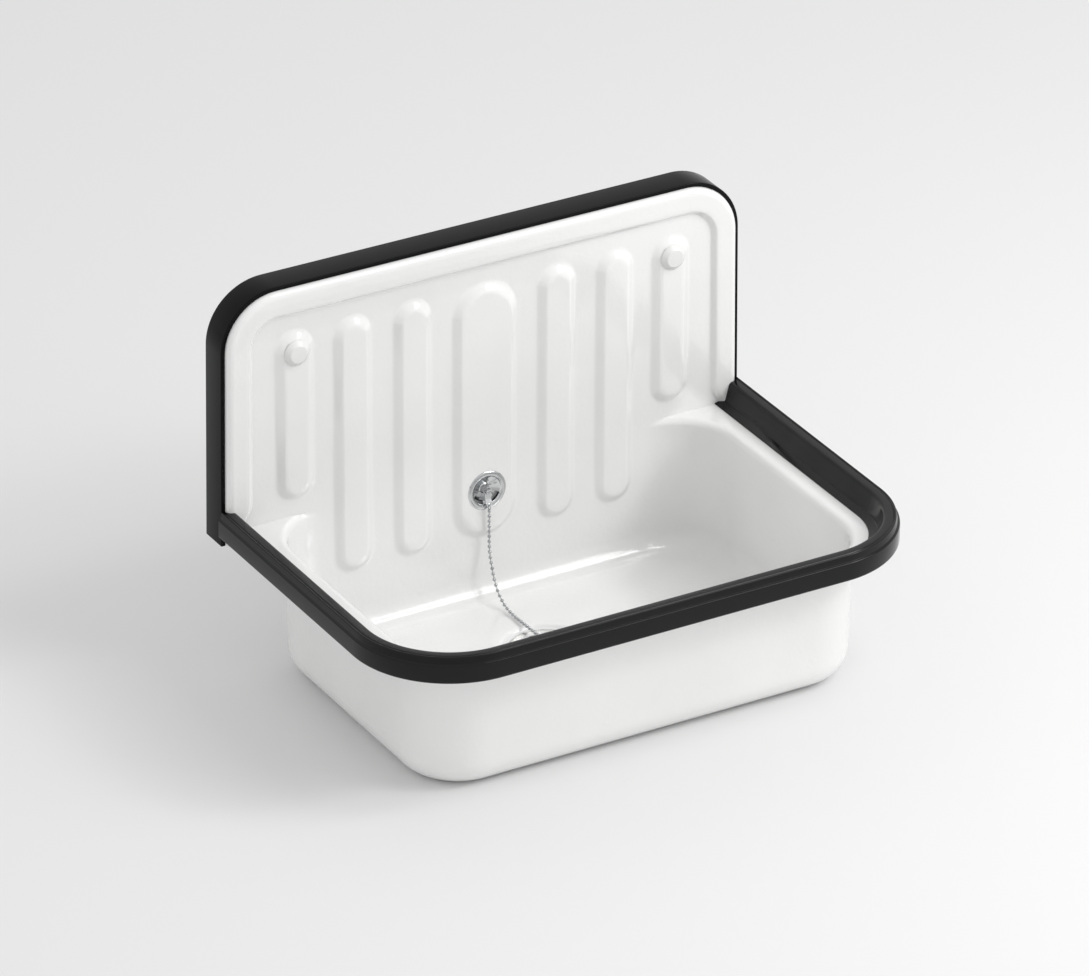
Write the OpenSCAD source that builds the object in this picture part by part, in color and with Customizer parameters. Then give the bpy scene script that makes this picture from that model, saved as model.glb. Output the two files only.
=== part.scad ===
// Bucket sink: an enamelled steel bowl with a ribbed back panel, hung on the wall by two
// screws, with black edge profiles, a plug on a bead chain, and its waste and overflow.
// Millimetres, +Z up, the front faces -Y and the wall is the plane y = 0.
// The origin lies on the wall, midway between the two fixings.

/* [Basin] */
// Thickness of the enamelled sheet
sheet = 2.5; // [2:0.1:3.2]
// Height of the ledge round the mouth above the underside of the bowl
bowl_depth = 126.3; // [105:0.1:170]
// Outer radius of the bowl's corners in plan
bowl_corner = 58; // [48:1:70]
// Outer radius of the edge between the bowl's walls and its floor
base_round = 24.4; // [16:0.1:32]
// Slope of the bowl's walls from upright, in degrees
draft = 1; // [0.5:0.1:2]
// Radius that rolls the mouth over into the ledge
mouth_round = 6.5; // [5:0.5:8]

/* [Rim] */
// Width over the lower band of the rim profile
rim_w = 510; // [490:1:600]
// Distance from the wall to the front of the rim profile
rim_reach = 351.4; // [330:0.1:420]
// Corner radius of the rim profile's lower band
rim_corner = 90.1; // [80:0.1:105]
// Distance from the rim's side to the bowl's side
ledge_side = 40; // [37:0.5:60]
// Distance from the rim's front to the bowl's front
ledge_front = 32.7; // [32:0.1:50]
// Distance from the rim's outermost face to the upturned edge of the sheet
upstand_inset = 10.5; // [8:0.1:11]
// Height of the upturned edge above the ledge
upstand_h = 14; // [10:0.5:15]

/* [Back panel] */
// Height of the top of the back profile above the underside of the bowl
back_top = 344.1; // [320:0.1:400]
// Outer radius of the back profile's top corners
back_corner = 52.4; // [46:0.1:70]
// Distance that the panel's sides lean outward for each millimetre down
lean = 0.012; // [0:0.002:0.024]
// Distance from the wall to the panel's field
field_out = 28.8; // [27:0.1:36]
// Height of the pressed border above the field
border_rise = 4.2; // [3:0.1:5]
// Width of the border from the back profile to the step
border_w = 20.8; // [16:0.1:22]
// Width of the sloping step between the border and the field
border_step = 3; // [2:0.5:4]
// Length of the panel's sides below the ledge
skirt = 12.3; // [10:0.1:20]

/* [Ribs] */
// Distance of the inner ribs from the middle
inner_rib_x = 69.7; // [62:0.1:78]
// Distance of the outer long ribs from the middle
outer_rib_x = 126.8; // [118:0.1:134]
// Width of a narrow rib at its base
rib_w = 37; // [32:0.5:42]
// Width of the middle rib at its base
mid_rib_w = 62.7; // [56:0.1:72]
// Height of the ribs above the field
rib_rise = 4.5; // [3.5:0.1:6]
// Width of a rib's sloping flank
rib_flank = 7.4; // [5:0.1:9]
// Distance from the top of the back profile down to the ribs' tops
rib_drop = 43.7; // [38:0.1:50]
// Height of the long ribs' feet above the underside of the bowl
rib_foot = 58.5; // [50:0.1:70]
// Height of the short ribs' feet above the ledge
short_rib_foot = 15; // [8:0.5:30]

/* [Edge profiles] */
// Depth of the back profile from the wall forward
back_trim_depth = 27.4; // [24:0.1:28]
// Thickness of the back profile's outer wall
back_trim_t = 3.8; // [3:0.1:5]
// Thickness of the back profile's inner clip
clip_t = 2; // [1.5:0.1:3]
// Depth of the back profile's inner clip
clip_depth = 14; // [10:1:18]
// Height of the rim profile's lower band
band_h = 17.6; // [15:0.1:19]
// Distance that the rim profile reaches below the ledge's top
band_drop = 3.6; // [3.4:0.1:6]
// Step between the lower band and the upper band
band_step = 2; // [1:0.1:2.2]
// Inset of the top outer edge from the outermost face
top_inset = 3; // [2.5:0.1:4]
// Height of the rim profile's crown above the ledge
crown_h = 20; // [18:0.1:24]
// Width of the lip that lies on the ledge
lip_w = 7.6; // [5:0.1:8]
// Inset of the foot of the rim profile's inner face
inner_foot = 18.6; // [17:0.1:20]

/* [Fixings] */
// Distance between the two wall screws
fixing_spacing = 364; // [355:1:372]
// Distance from the top of the back profile down to the wall screws
fixing_drop = 62.6; // [58:0.1:75]
// Bore of the sleeve that takes the wall screw
fixing_bore = 9; // [7:0.5:10]
// Outer diameter of the sleeve
sleeve_d = 14; // [13:0.5:16]
// Diameter of the sleeve's flange
sleeve_flange_d = 19; // [18:0.5:20]
// Thickness of the sleeve's flange
sleeve_flange_t = 1.5; // [1:0.1:2]
// Diameter of the cap's foot
cap_d = 26; // [24:0.5:28]
// Diameter of the cap's flat face
cap_face_d = 17; // [14:0.5:18]
// Height of the cap
cap_h = 4.3; // [4:0.1:6]

/* [Overflow] */
// Distance from the ledge down to the middle of the overflow
overflow_drop = 22.2; // [18:0.1:26]
// Diameter of the hole in the panel
overflow_hole_d = 30; // [28:0.5:32]
// Diameter of the chrome rosette
rosette_d = 37; // [35:0.5:40]
// Thickness of the rosette's lip
rosette_t = 1.4; // [1:0.1:1.6]
// Width of the rosette's slots
slot_w = 3.4; // [2.5:0.1:3.8]
// Diameter of the overflow screw
overflow_screw_d = 4; // [3:0.5:5]
// Outer diameter of the spigots that take the hose
spigot_d = 16; // [14:0.5:16.5]
// Outer diameter of the hose's ribs
hose_d = 20.8; // [20:0.1:21.6]
// Distance from one rib of the hose to the next
hose_pitch = 4; // [3:0.5:6]
// Radius of the hose's bend
hose_bend = 38; // [36:1:40]

/* [Chain] */
// Diameter of a bead
bead_d = 3.2; // [2.8:0.1:3.4]
// Distance from one bead to the next
bead_pitch = 4.9; // [4.7:0.1:5.2]
// Diameter of the wire between the beads
wire_d = 1; // [0.8:0.1:1.2]
// Outer diameter of the ring that hangs the chain from its tab
top_ring_d = 5.1; // [4.9:0.1:5.4]
// Outer diameter of the ring that holds the plug
plug_ring_d = 6.5; // [6:0.1:7]
// Distance from the wall to the hanging chain
chain_out = 37.7; // [37.5:0.1:39]

/* [Waste] */
// Distance from the wall to the middle of the drain
drain_reach = 137; // [130:1:170]
// Diameter of the recess round the drain
recess_d = 76; // [74:0.5:84]
// Depth of the recess
recess_deep = 5; // [4.6:0.1:6]
// Diameter of the hole in the floor
drain_hole_d = 50; // [49.5:0.5:52]
// Diameter of the waste flange
flange_d = 70; // [68:0.5:72]
// Diameter of the opening that the plug closes
plug_bore_d = 44.5; // [42:0.5:45]
// Outer diameter of the threaded outlet
outlet_d = 47.8; // [44:0.1:50]
// Length of the threaded outlet
outlet_l = 25; // [20:1:40]
// Diameter of the waste screw
waste_screw_d = 6; // [5:0.5:7]
// Thickness of the seal between the floor and the waste body
body_seal_t = 2.5; // [2:0.1:4]

/* [Hidden] */
$fn = 64;

// Clearance between pieces that fit together
fit = 0.1;
// Clearance between the links that move on each other
link_gap = 0.3;
// Length by which a cutting tool passes the face that it cuts
past = 1;

enamel = [0.94, 0.94, 0.93];
black = [0.10, 0.10, 0.10];
chrome = [0.75, 0.76, 0.78];
rubber = [0.22, 0.22, 0.23];
nylon = [0.85, 0.85, 0.82];
plastic = [0.62, 0.63, 0.64];

// Keeps a worked-out place on a hundredth, so that neighbouring surfaces meet exactly
function hundredth(v) = round(v * 100) / 100;

// Heights and places that several pieces share
ledge_z = bowl_depth;
mouth_z = ledge_z - mouth_round;
fixing_z = back_top - fixing_drop;
overflow_z = ledge_z - overflow_drop;
crown_z = ledge_z + crown_h;
skirt_z = ledge_z - skirt;
wall_t = sheet / cos(draft);
mouth_in = hundredth(bowl_corner - wall_t);
bowl_axis_x = rim_w / 2 - ledge_side - bowl_corner;
bowl_axis_front = rim_reach - ledge_front - bowl_corner;
bowl_axis_rear = field_out + mouth_in;
rim_axis_x = rim_w / 2 - rim_corner;
rim_axis_y = rim_reach - rim_corner;

flare = asin(lean);

// The back panel's outlines all share the corner centres and the lean of the sides
corner_z = back_top - back_corner;
corner_x = hundredth(rim_w / 2 - top_inset
    - (back_corner - (crown_z - corner_z) * sin(flare)) / cos(flare));
flange_r = back_corner - back_trim_t;
border_out = field_out + border_rise;
border_roll = border_out - back_trim_depth;
step_r = flange_r - border_w;
field_r = step_r - border_step;
back_tail = 2;
// Overlap of the field's sheet with the end of the border's section
lap = 1.6;

rib_top = back_top - rib_drop;
rib_face = field_out + rib_rise;
rib_flat_w = mid_rib_w - 2 * rib_flank;
rib_inset = sheet * tan(atan(rib_rise / rib_flank) / 2);

// Overflow and chain eye
lip_front = rib_face + rosette_t;
dish_r = overflow_hole_d / 2 - 0.5;
dish_deep = 5;
dish_t = 1.2;
post_d = 2 * overflow_screw_d;
seal_t = 2;
overflow_back = 5;
hose_y = 14;
tab_t = 0.7;
tab_w = 6;
tab_bar = 1;
tab_hole_d = 3;
tab_pivot_z = overflow_z - 13.1;
ring_wire = 0.9;
top_hole_r = top_ring_d / 2 - ring_wire;
plug_hole_r = plug_ring_d / 2 - ring_wire;

// Waste
recess_z = sheet - recess_deep;
flange_seal_t = 1.2;
flange_z = recess_z + flange_seal_t;
flange_t = 1.8;
flange_top = flange_z + flange_t;
seat_z = flange_z - 0.7;
throat_d = drain_hole_d - 1;
throat_deep = 12;
grid_t = 2.5;
under_z = recess_z - sheet;
body_z = under_z - body_seal_t;
body_r = 30;
body_t = 3;
body_deep = 38;
body_floor_z = body_z - body_deep;
outlet_z = body_floor_z - outlet_l;
port_z = body_z - 20;
port_reach = 52;
plug_top = flange_top + 0.6;
plug_cap_t = 0.8;
plug_dome = 0.8;
eye_wire = 1.4;
eye_mean_r = 2.7;
eye_z = plug_top + plug_cap_t + plug_dome + 1.1;
eye_top_z = eye_z + eye_mean_r;

// Chain: it hangs straight, leans out, and then runs over the floor to the plug
first_lean = 20;
run_lean = 91;
first_bend = 5;
second_bend = 12;
floor_gap = 0.8;
chain_low = sheet + bead_d / 2 + floor_gap;
bend_links = first_bend + second_bend;
bend_drop = bead_pitch * chain_sum([for (i = [0:bend_links - 1]) cos(link_lean(i))]);
hang_h = tab_pivot_z - chain_low - bend_drop;
hang_links = max(2, round(hang_h / bead_pitch));
hang_pitch = hang_h / hang_links;
chain_end = [-drain_reach + plug_hole_r - eye_wire / 2 - link_gap, eye_top_z];
run_start = chain_knee(hang_links + bend_links);
run_vector = chain_end - run_start;
run_links = max(3, round(norm(run_vector) / bead_pitch));
chain_links = hang_links + bend_links + run_links;
joints = [0, hang_links, hang_links + 4, hang_links + 8, hang_links + 12,
    hang_links + bend_links, hang_links + bend_links + 5, chain_links];

function chain_sum(v, i = 0) = i == len(v) ? 0 : v[i] + chain_sum(v, i + 1);

function ease(t) = t <= 0 ? 0 : t >= 1 ? 1 : t * t * (3 - 2 * t);

// Angle of a link of the bend from straight down
function link_lean(i) = first_lean * ease(i / first_bend)
    + (run_lean - first_lean) * ease((i - first_bend) / second_bend);

// Place of bead i along the hanging part and the bend, as [y, z]
function chain_knee(i) = i <= hang_links
    ? [-chain_out, tab_pivot_z - i * hang_pitch]
    : chain_knee(i - 1)
        - bead_pitch * [sin(link_lean(i - 1 - hang_links)), cos(link_lean(i - 1 - hang_links))];

// Place of any bead of the chain, as [y, z]
function bead(i) = i <= hang_links + bend_links
    ? chain_knee(i)
    : run_start + run_vector * (i - hang_links - bend_links) / run_links;

// Half width of an outline of the back panel at height z, for corner radius r
function side_x(r, z) = corner_x + (r - (z - corner_z) * sin(flare)) / cos(flare);

// Shared forms

// Puts a piece that is drawn above the bowl's underside into the part's frame
module hang() {
    translate([0, 0, -fixing_z])
        children();
}

// Turns a shape so that its Z axis points out of the wall
module outward(x, z) {
    translate([x, 0, z])
        rotate([90, 0, 0])
            children();
}

// Outline of the back panel in front view, for corner radius r, down to height low
module back_outline(r, low) {
    polygon([
        [-side_x(r, low), low],
        [side_x(r, low), low],
        [corner_x + r * cos(flare), corner_z + r * sin(flare)],
        [corner_x, corner_z + r],
        [-corner_x, corner_z + r],
        [-corner_x - r * cos(flare), corner_z + r * sin(flare)]
    ]);
    for (side = [-1, 1])
        translate([side * corner_x, corner_z])
            circle(r);
}

// Sweeps a section along the back panel's top and sides, down to height low
module back_sweep(low) {
    leg = (corner_z - low) / cos(flare) + 10;
    intersection() {
        rotate([90, 0, 0])
            union() {
                for (side = [0, 1])
                    mirror([side, 0, 0]) {
                        translate([0, corner_z, 0])
                            rotate([0, 0, 90])
                                rotate([90, 0, 0])
                                    linear_extrude(corner_x)
                                        children();
                        translate([corner_x, corner_z, 0]) {
                            intersection() {
                                rotate_extrude(angle = 90)
                                    children();
                                rotate([0, 0, flare])
                                    cube(2 * back_corner);
                            }
                            rotate([0, 0, flare])
                                rotate([90, 0, 0])
                                    linear_extrude(leg)
                                        children();
                        }
                    }
            }
        translate([-rim_w, -rim_reach, low])
            cube([2 * rim_w, 2 * rim_reach, back_top]);
    }
}

// Sweeps a section round a front corner, along half the front and along the side's run.
// The runs start and end at the corner's own zero, so that the pieces meet exactly.
module corner_sweep(half_front, side_run) {
    rotate([0, 0, -90]) {
        rotate_extrude(angle = 90)
            children();
        rotate([90, 0, 0])
            linear_extrude(half_front)
                children();
    }
    translate([0, side_run, 0])
        rotate([90, 0, 0])
            linear_extrude(side_run)
                children();
}

// Sweeps a section round the front and sides of the rim, back to the distance rear
module rim_sweep(rear) {
    for (side = [0, 1])
        mirror([side, 0, 0])
            translate([rim_axis_x, -rim_axis_y, 0])
                corner_sweep(rim_axis_x, rim_axis_y - rear)
                    children();
}

// Sweeps a section round the bowl, with or without the run along its rear wall
module bowl_sweep(with_rear) {
    side_run = bowl_axis_front - bowl_axis_rear;
    for (side = [0, 1])
        mirror([side, 0, 0])
            translate([bowl_axis_x, -bowl_axis_front, 0]) {
                corner_sweep(bowl_axis_x, side_run)
                    children();
                translate([0, side_run, 0]) {
                    rotate_extrude(angle = 90)
                        children();
                    if (with_rear)
                        rotate([0, 0, 90])
                            rotate([90, 0, 0])
                                mirror([0, 0, 1])
                                    linear_extrude(bowl_axis_x)
                                        children();
                }
            }
}

// Basin

// Half section of a pan from its corner axis outward, with a rounded base edge
module pan_section(mouth_r, low, round_r) {
    mid_z = low + round_r;
    mid_x = mouth_r - (mouth_z - mid_z) * tan(draft) - round_r / cos(draft);
    polygon([
        [0, low],
        [mid_x, low],
        [mid_x + round_r * cos(draft), mid_z - round_r * sin(draft)],
        [mouth_r, mouth_z],
        [0, mouth_z]
    ]);
    translate([mid_x, mid_z])
        circle(round_r);
}

module bowl_shell() {
    bowl_sweep(true)
        difference() {
            pan_section(bowl_corner, 0, base_round);
            pan_section(mouth_in, sheet, base_round - sheet);
        }
    translate([-bowl_axis_x - lap, -bowl_axis_front - lap, 0])
        cube([2 * (bowl_axis_x + lap), bowl_axis_front - bowl_axis_rear + 2 * lap, sheet]);
}

// Quarter tube that rolls the bowl's wall over into the ledge
module mouth_roll() {
    intersection() {
        bowl_sweep(false)
            translate([mouth_in + mouth_round, mouth_z]) {
                intersection() {
                    difference() {
                        circle(mouth_round);
                        circle(mouth_round - sheet);
                    }
                    translate([-mouth_round, 0])
                        square(mouth_round);
                }
                translate([0, mouth_round - sheet])
                    square([lap, sheet]);
            }
        translate([-rim_w, -rim_reach, 0])
            cube([2 * rim_w, rim_reach - field_out + sheet, back_top]);
    }
}

module rim_plan(inset) {
    r = rim_corner - inset;
    translate([-rim_axis_x - r, -rim_axis_y])
        square([2 * (rim_axis_x + r), rim_axis_y - field_out + sheet]);
    translate([-rim_axis_x, -rim_axis_y - r])
        square([2 * rim_axis_x, r]);
    for (side = [-1, 1])
        translate([side * rim_axis_x, -rim_axis_y])
            circle(r);
}

module mouth_plan() {
    r = mouth_in + mouth_round;
    translate([-bowl_axis_x - r, -bowl_axis_front])
        square([2 * (bowl_axis_x + r), bowl_axis_front - bowl_axis_rear]);
    translate([-bowl_axis_x, -bowl_axis_front - r])
        square([2 * bowl_axis_x, bowl_axis_front - bowl_axis_rear + 2 * r]);
    for (side = [-1, 1])
        for (y = [bowl_axis_front, bowl_axis_rear])
            translate([side * bowl_axis_x, -y])
                circle(r);
}

module ledge() {
    translate([0, 0, ledge_z - sheet])
        linear_extrude(sheet)
            difference() {
                rim_plan(upstand_inset + sheet / 2);
                mouth_plan();
            }
    rim_sweep(border_out - sheet)
        translate([rim_corner - upstand_inset - sheet, ledge_z - sheet])
            square([sheet, upstand_h + sheet]);
}

// Section of the panel's border: return flange, roll, flat and step down to the field
module border_section() {
    roll_x = flange_r - border_roll;
    roll_y = border_out - border_roll;
    translate([flange_r - sheet, back_tail + fit])
        square([sheet, roll_y - back_tail - fit]);
    translate([roll_x, roll_y])
        intersection() {
            difference() {
                circle(border_roll);
                circle(border_roll - sheet);
            }
            square(border_roll);
        }
    translate([step_r, border_out - sheet])
        square([roll_x - step_r, sheet]);
    polygon([
        [step_r, border_out],
        [step_r, border_out - sheet],
        [field_r, field_out - sheet],
        [field_r - lap, field_out - sheet],
        [field_r - lap, field_out],
        [field_r, field_out]
    ]);
}

module back_panel() {
    back_sweep(skirt_z)
        border_section();
    rotate([90, 0, 0])
        translate([0, 0, field_out - sheet])
            linear_extrude(sheet)
                back_outline(field_r - lap / 2, mouth_z);
}

// One raised rib with round ends, from its base plane forward
module rib(x, foot, w, base, inset) {
    half = w / 2 - inset;
    flat = half - rib_flank;
    low = foot + w / 2;
    high = rib_top - w / 2;
    outward(x, 0)
        translate([0, 0, base]) {
            for (z = [low, high])
                translate([0, z, 0])
                    cylinder(h = rib_rise, r1 = half, r2 = flat);
            translate([0, low, 0])
                rotate([-90, 0, 0])
                    linear_extrude(high - low)
                        polygon([[-half, 0], [half, 0], [flat, -rib_rise], [-flat, -rib_rise]]);
        }
}

module ribs(base, inset) {
    rib(0, rib_foot, mid_rib_w, base, inset);
    for (side = [-1, 1]) {
        rib(side * inner_rib_x, rib_foot, rib_w, base, inset);
        rib(side * outer_rib_x, rib_foot, rib_w, base, inset);
        rib(side * fixing_spacing / 2, ledge_z + short_rib_foot, rib_w, base, inset);
    }
}

module basin() {
    color(enamel)
        hang()
            difference() {
                union() {
                    bowl_shell();
                    mouth_roll();
                    ledge();
                    back_panel();
                    ribs(field_out, 0);
                    translate([0, -drain_reach, under_z])
                        cylinder(h = sheet - under_z, d1 = recess_d - 1, d2 = recess_d + 2 * sheet);
                }
                ribs(field_out - sheet, rib_inset);
                for (side = [-1, 1])
                    outward(side * fixing_spacing / 2, fixing_z)
                        cylinder(h = rib_face + past, d = sleeve_d);
                outward(0, overflow_z)
                    cylinder(h = rib_face + past, d = overflow_hole_d);
                translate([0, -drain_reach, recess_z])
                    cylinder(h = recess_deep + past, d1 = recess_d - 6, d2 = recess_d);
                translate([0, -drain_reach, under_z - past])
                    cylinder(h = 3 * recess_deep, d = drain_hole_d);
            }
}

// Edge profiles

module back_trim() {
    edge = 1.2;
    inner = flange_r - sheet - fit - clip_t;
    color(black)
        hang()
            back_sweep(skirt_z) {
                union() {
                    translate([flange_r + fit, 0])
                        square([back_trim_t - fit, back_trim_depth - edge]);
                    translate([flange_r + fit, 0])
                        square([back_trim_t - fit - edge, back_trim_depth]);
                    translate([back_corner - edge, back_trim_depth - edge])
                        circle(edge);
                    translate([inner, 0])
                        square([back_corner - inner, back_tail]);
                    translate([inner, 0])
                        square([clip_t, clip_depth]);
                }
            }
}

// Section of the rim profile, x outward from the corner axis
module rim_section() {
    outer = rim_corner;
    low = ledge_z - band_drop;
    band_top = low + band_h;
    slot_out = outer - upstand_inset + fit;
    slot_in = slot_out - sheet - 2 * fit;
    foot = outer - inner_foot;
    toe = foot - lip_w;
    seat = ledge_z + fit;
    lip_t = 0.9;
    heel = 2.5;
    crown_r = 3.5;
    crown_in = foot + 4.4;
    difference() {
        union() {
            polygon([
                [outer - heel, low],
                [outer, low + heel],
                [outer, band_top - band_step / 2],
                [outer - band_step / 2, band_top],
                [outer - band_step, band_top + band_step / 2],
                [outer - top_inset, crown_z + 0.2],
                [outer - top_inset - 1, crown_z + 0.2],
                [outer - top_inset - 2.2, crown_z - 0.8],
                [outer - top_inset - 3, crown_z],
                [crown_in + crown_r, crown_z],
                [crown_in, crown_z - crown_r],
                [foot, ledge_z + 2.7],
                [toe, seat + lip_t],
                [toe, seat],
                [slot_in, seat],
                [slot_in, low]
            ]);
            translate([outer - heel, low + heel])
                circle(heel);
            translate([crown_in + crown_r, crown_z - crown_r])
                circle(crown_r);
        }
        translate([slot_in, low - past])
            square([slot_out - slot_in, ledge_z + upstand_h + fit - low + past]);
    }
}

module rim_trim() {
    color(black)
        hang()
            difference() {
                rim_sweep(back_trim_depth + fit)
                    rim_section();
                rotate([90, 0, 0])
                    translate([0, 0, -past])
                        linear_extrude(border_out + fit + past)
                            back_outline(flange_r + fit, skirt_z - 5);
            }
}

// Fixings

module fixing_sleeves() {
    color(nylon)
        hang()
            for (side = [-1, 1])
                outward(side * fixing_spacing / 2, fixing_z)
                    difference() {
                        union() {
                            cylinder(h = rib_face, d = sleeve_d - 2 * fit);
                            translate([0, 0, rib_face])
                                cylinder(h = sleeve_flange_t, d = sleeve_flange_d);
                        }
                        translate([0, 0, -past])
                            cylinder(h = rib_face + sleeve_flange_t + 2 * past, d = fixing_bore);
                    }
}

module fixing_caps() {
    skin = 1.2;
    color(enamel)
        hang()
            for (side = [-1, 1])
                outward(side * fixing_spacing / 2, fixing_z)
                    translate([0, 0, rib_face])
                        rotate_extrude()
                            polygon([
                                [sleeve_flange_d / 2 + fit, 0],
                                [cap_d / 2, 0],
                                [cap_face_d / 2 + 0.6, cap_h - 0.4],
                                [cap_face_d / 2, cap_h],
                                [0, cap_h],
                                [0, cap_h - skin],
                                [cap_face_d / 2 - skin, cap_h - skin],
                                [sleeve_flange_d / 2 + fit, sleeve_flange_t]
                            ]);
}

// Overflow

module overflow_rosette() {
    lip_in = dish_r - dish_t;
    post_r = post_d / 2;
    slot_turn = 55;
    slot_starts = [200, 285];
    color(chrome)
        hang()
            outward(0, overflow_z)
                translate([0, 0, rib_face])
                    difference() {
                        rotate_extrude()
                            union() {
                                polygon([
                                    [overflow_screw_d / 2 + fit, -dish_deep - dish_t],
                                    [post_r, -dish_deep - dish_t],
                                    [dish_r, -dish_t],
                                    [dish_r, 0],
                                    [rosette_d / 2, 0],
                                    [rosette_d / 2, rosette_t / 2],
                                    [rosette_d / 2 - rosette_t / 2, rosette_t],
                                    [lip_in, rosette_t],
                                    [lip_in - 1, 0],
                                    [post_r, -dish_deep],
                                    [post_r, rosette_t],
                                    [overflow_screw_d / 2 + fit, rosette_t]
                                ]);
                            }
                        for (start = slot_starts)
                            rotate([0, 0, start])
                                translate([0, 0, -dish_deep - dish_t])
                                    rotate_extrude(angle = slot_turn)
                                        translate([lip_in - 1 - slot_w, 0])
                                            square([slot_w, dish_deep + dish_t]);
                    }
}

module overflow_seal() {
    color(rubber)
        hang()
            outward(0, overflow_z)
                translate([0, 0, rib_face - sheet - seal_t])
                    difference() {
                        cylinder(h = seal_t, d = rosette_d + 1);
                        translate([0, 0, -past])
                            cylinder(h = seal_t + 2 * past, d = overflow_hole_d);
                    }
}

module overflow_body() {
    front = rib_face - sheet - seal_t;
    cup_r = overflow_hole_d / 2 - 1;
    skin = 2;
    color(plastic)
        hang()
            difference() {
                union() {
                    outward(0, overflow_z) {
                        translate([0, 0, overflow_back])
                            cylinder(h = front - overflow_back, r = cup_r);
                        translate([0, 0, front - skin])
                            cylinder(h = skin, d = rosette_d + 1);
                    }
                    translate([0, -hose_y, overflow_z - cup_r - 14])
                        cylinder(h = cup_r + 14, d = spigot_d);
                }
                difference() {
                    outward(0, overflow_z)
                        translate([0, 0, overflow_back + skin])
                            cylinder(h = front, r = cup_r - skin);
                    outward(0, overflow_z)
                        cylinder(h = front - 2, d = post_d + 2);
                }
                translate([0, -hose_y, overflow_z - cup_r - 15])
                    cylinder(h = cup_r + 10, d = spigot_d - 2 * skin);
                outward(0, overflow_z)
                    translate([0, 0, overflow_back + skin])
                        cylinder(h = front, d = overflow_screw_d + 2 * fit);
            }
}

module overflow_screw() {
    head_d = overflow_screw_d + 2;
    head_h = 1.6;
    color(chrome)
        hang()
            outward(0, overflow_z)
                difference() {
                    union() {
                        translate([0, 0, overflow_back + 4])
                            cylinder(h = lip_front + tab_t - overflow_back - 4, d = overflow_screw_d);
                        translate([0, 0, lip_front + tab_t])
                            cylinder(h = head_h, d1 = head_d, d2 = head_d - 1);
                    }
                    for (turn = [0, 90])
                        rotate([0, 0, turn])
                            translate([-head_d / 3, -0.35, lip_front + tab_t + head_h - 0.9])
                                cube([2 * head_d / 3, 0.7, 2]);
                }
}

// Bent tab under the screw's head, with the hole that the chain's ring hangs in
module chain_eye() {
    knee_z = tab_pivot_z + 5;
    low = tab_pivot_z - tab_bar / 2;
    high = overflow_z + tab_w / 2;
    near = lip_front;
    far = chain_out - tab_t / 2;
    color(chrome)
        hang()
            difference() {
                intersection() {
                    translate([tab_w / 2, 0, 0])
                        rotate([0, -90, 0])
                            linear_extrude(tab_w)
                                polygon([
                                    [high, -near],
                                    [knee_z, -near],
                                    [knee_z - 2, -far],
                                    [low, -far],
                                    [low, -far - tab_t],
                                    [knee_z - 2 + tab_t / 2, -far - tab_t],
                                    [knee_z + tab_t / 2, -near - tab_t],
                                    [high, -near - tab_t]
                                ]);
                    outward(0, 0)
                        linear_extrude(2 * chain_out)
                            union() {
                                for (z = [overflow_z, low + tab_w / 2])
                                    translate([0, z])
                                        circle(d = tab_w);
                                translate([-tab_w / 2, low + tab_w / 2])
                                    square([tab_w, overflow_z - low - tab_w / 2]);
                            }
                }
                outward(0, overflow_z)
                    cylinder(h = 2 * chain_out, d = overflow_screw_d + 2 * fit);
                outward(0, low + tab_bar + tab_hole_d / 2)
                    cylinder(h = 2 * chain_out, d = tab_hole_d);
            }
}

// Chain

// Wire from one point of the chain's plane to another, both as [y, z]
module wire(from, to) {
    step = to - from;
    translate([0, from[0], from[1]])
        rotate([atan2(-step[0], step[1]), 0, 0])
            cylinder(h = norm(step), d = wire_d);
}

// Upright ring in the chain's plane, round a centre given as [y, z]
module ring(centre, outer_d) {
    translate([0, centre[0], centre[1]])
        rotate([0, 90, 0])
            rotate_extrude()
                translate([(outer_d - ring_wire) / 2, 0])
                    circle(d = ring_wire);
}

// Length of chain k: its beads and wires up to the bead that the next length turns on
module chain_length(k) {
    first = joints[k - 1];
    last = joints[k];
    end_ring = k == len(joints) - 1;
    hang_ring = [-chain_out, tab_pivot_z + tab_bar / 2 + link_gap - top_hole_r];
    top_r = (top_ring_d - ring_wire) / 2;
    end_r = (plug_ring_d - ring_wire) / 2;
    color(chrome)
        hang()
            union() {
                for (i = [first:last - 1]) {
                    from = bead(i);
                    to = bead(i + 1);
                    along = (to - from) / norm(to - from);
                    start = i == 0 ? hang_ring + along * top_r : from;
                    short = i < last - 1 ? 0 : end_ring ? end_r : bead_d / 2 + link_gap;
                    wire(start, to - along * short);
                    if (i > 0)
                        translate([0, from[0], from[1]])
                            sphere(d = bead_d);
                }
                if (k == 1)
                    ring(hang_ring, top_ring_d);
                if (end_ring)
                    ring(chain_end, plug_ring_d);
            }
}

module chain_1() {
    chain_length(1);
}

module chain_2() {
    chain_length(2);
}

module chain_3() {
    chain_length(3);
}

module chain_4() {
    chain_length(4);
}

module chain_5() {
    chain_length(5);
}

module chain_6() {
    chain_length(6);
}

module chain_7() {
    chain_length(7);
}

// Plug

// Puts a piece on the drain's axis
module at_drain() {
    hang()
        translate([0, -drain_reach, 0])
            children();
}

module plug_stopper() {
    neck_r = plug_bore_d / 2 - link_gap;
    head_r = plug_bore_d / 2 + 2.2;
    seat = seat_z + link_gap + 0.3;
    color(rubber)
        at_drain()
            rotate_extrude()
                polygon([
                    [0, seat - 6],
                    [neck_r - 1.5, seat - 6],
                    [neck_r, seat],
                    [head_r, seat + 0.6],
                    [head_r, plug_top],
                    [0, plug_top]
                ]);
}

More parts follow.
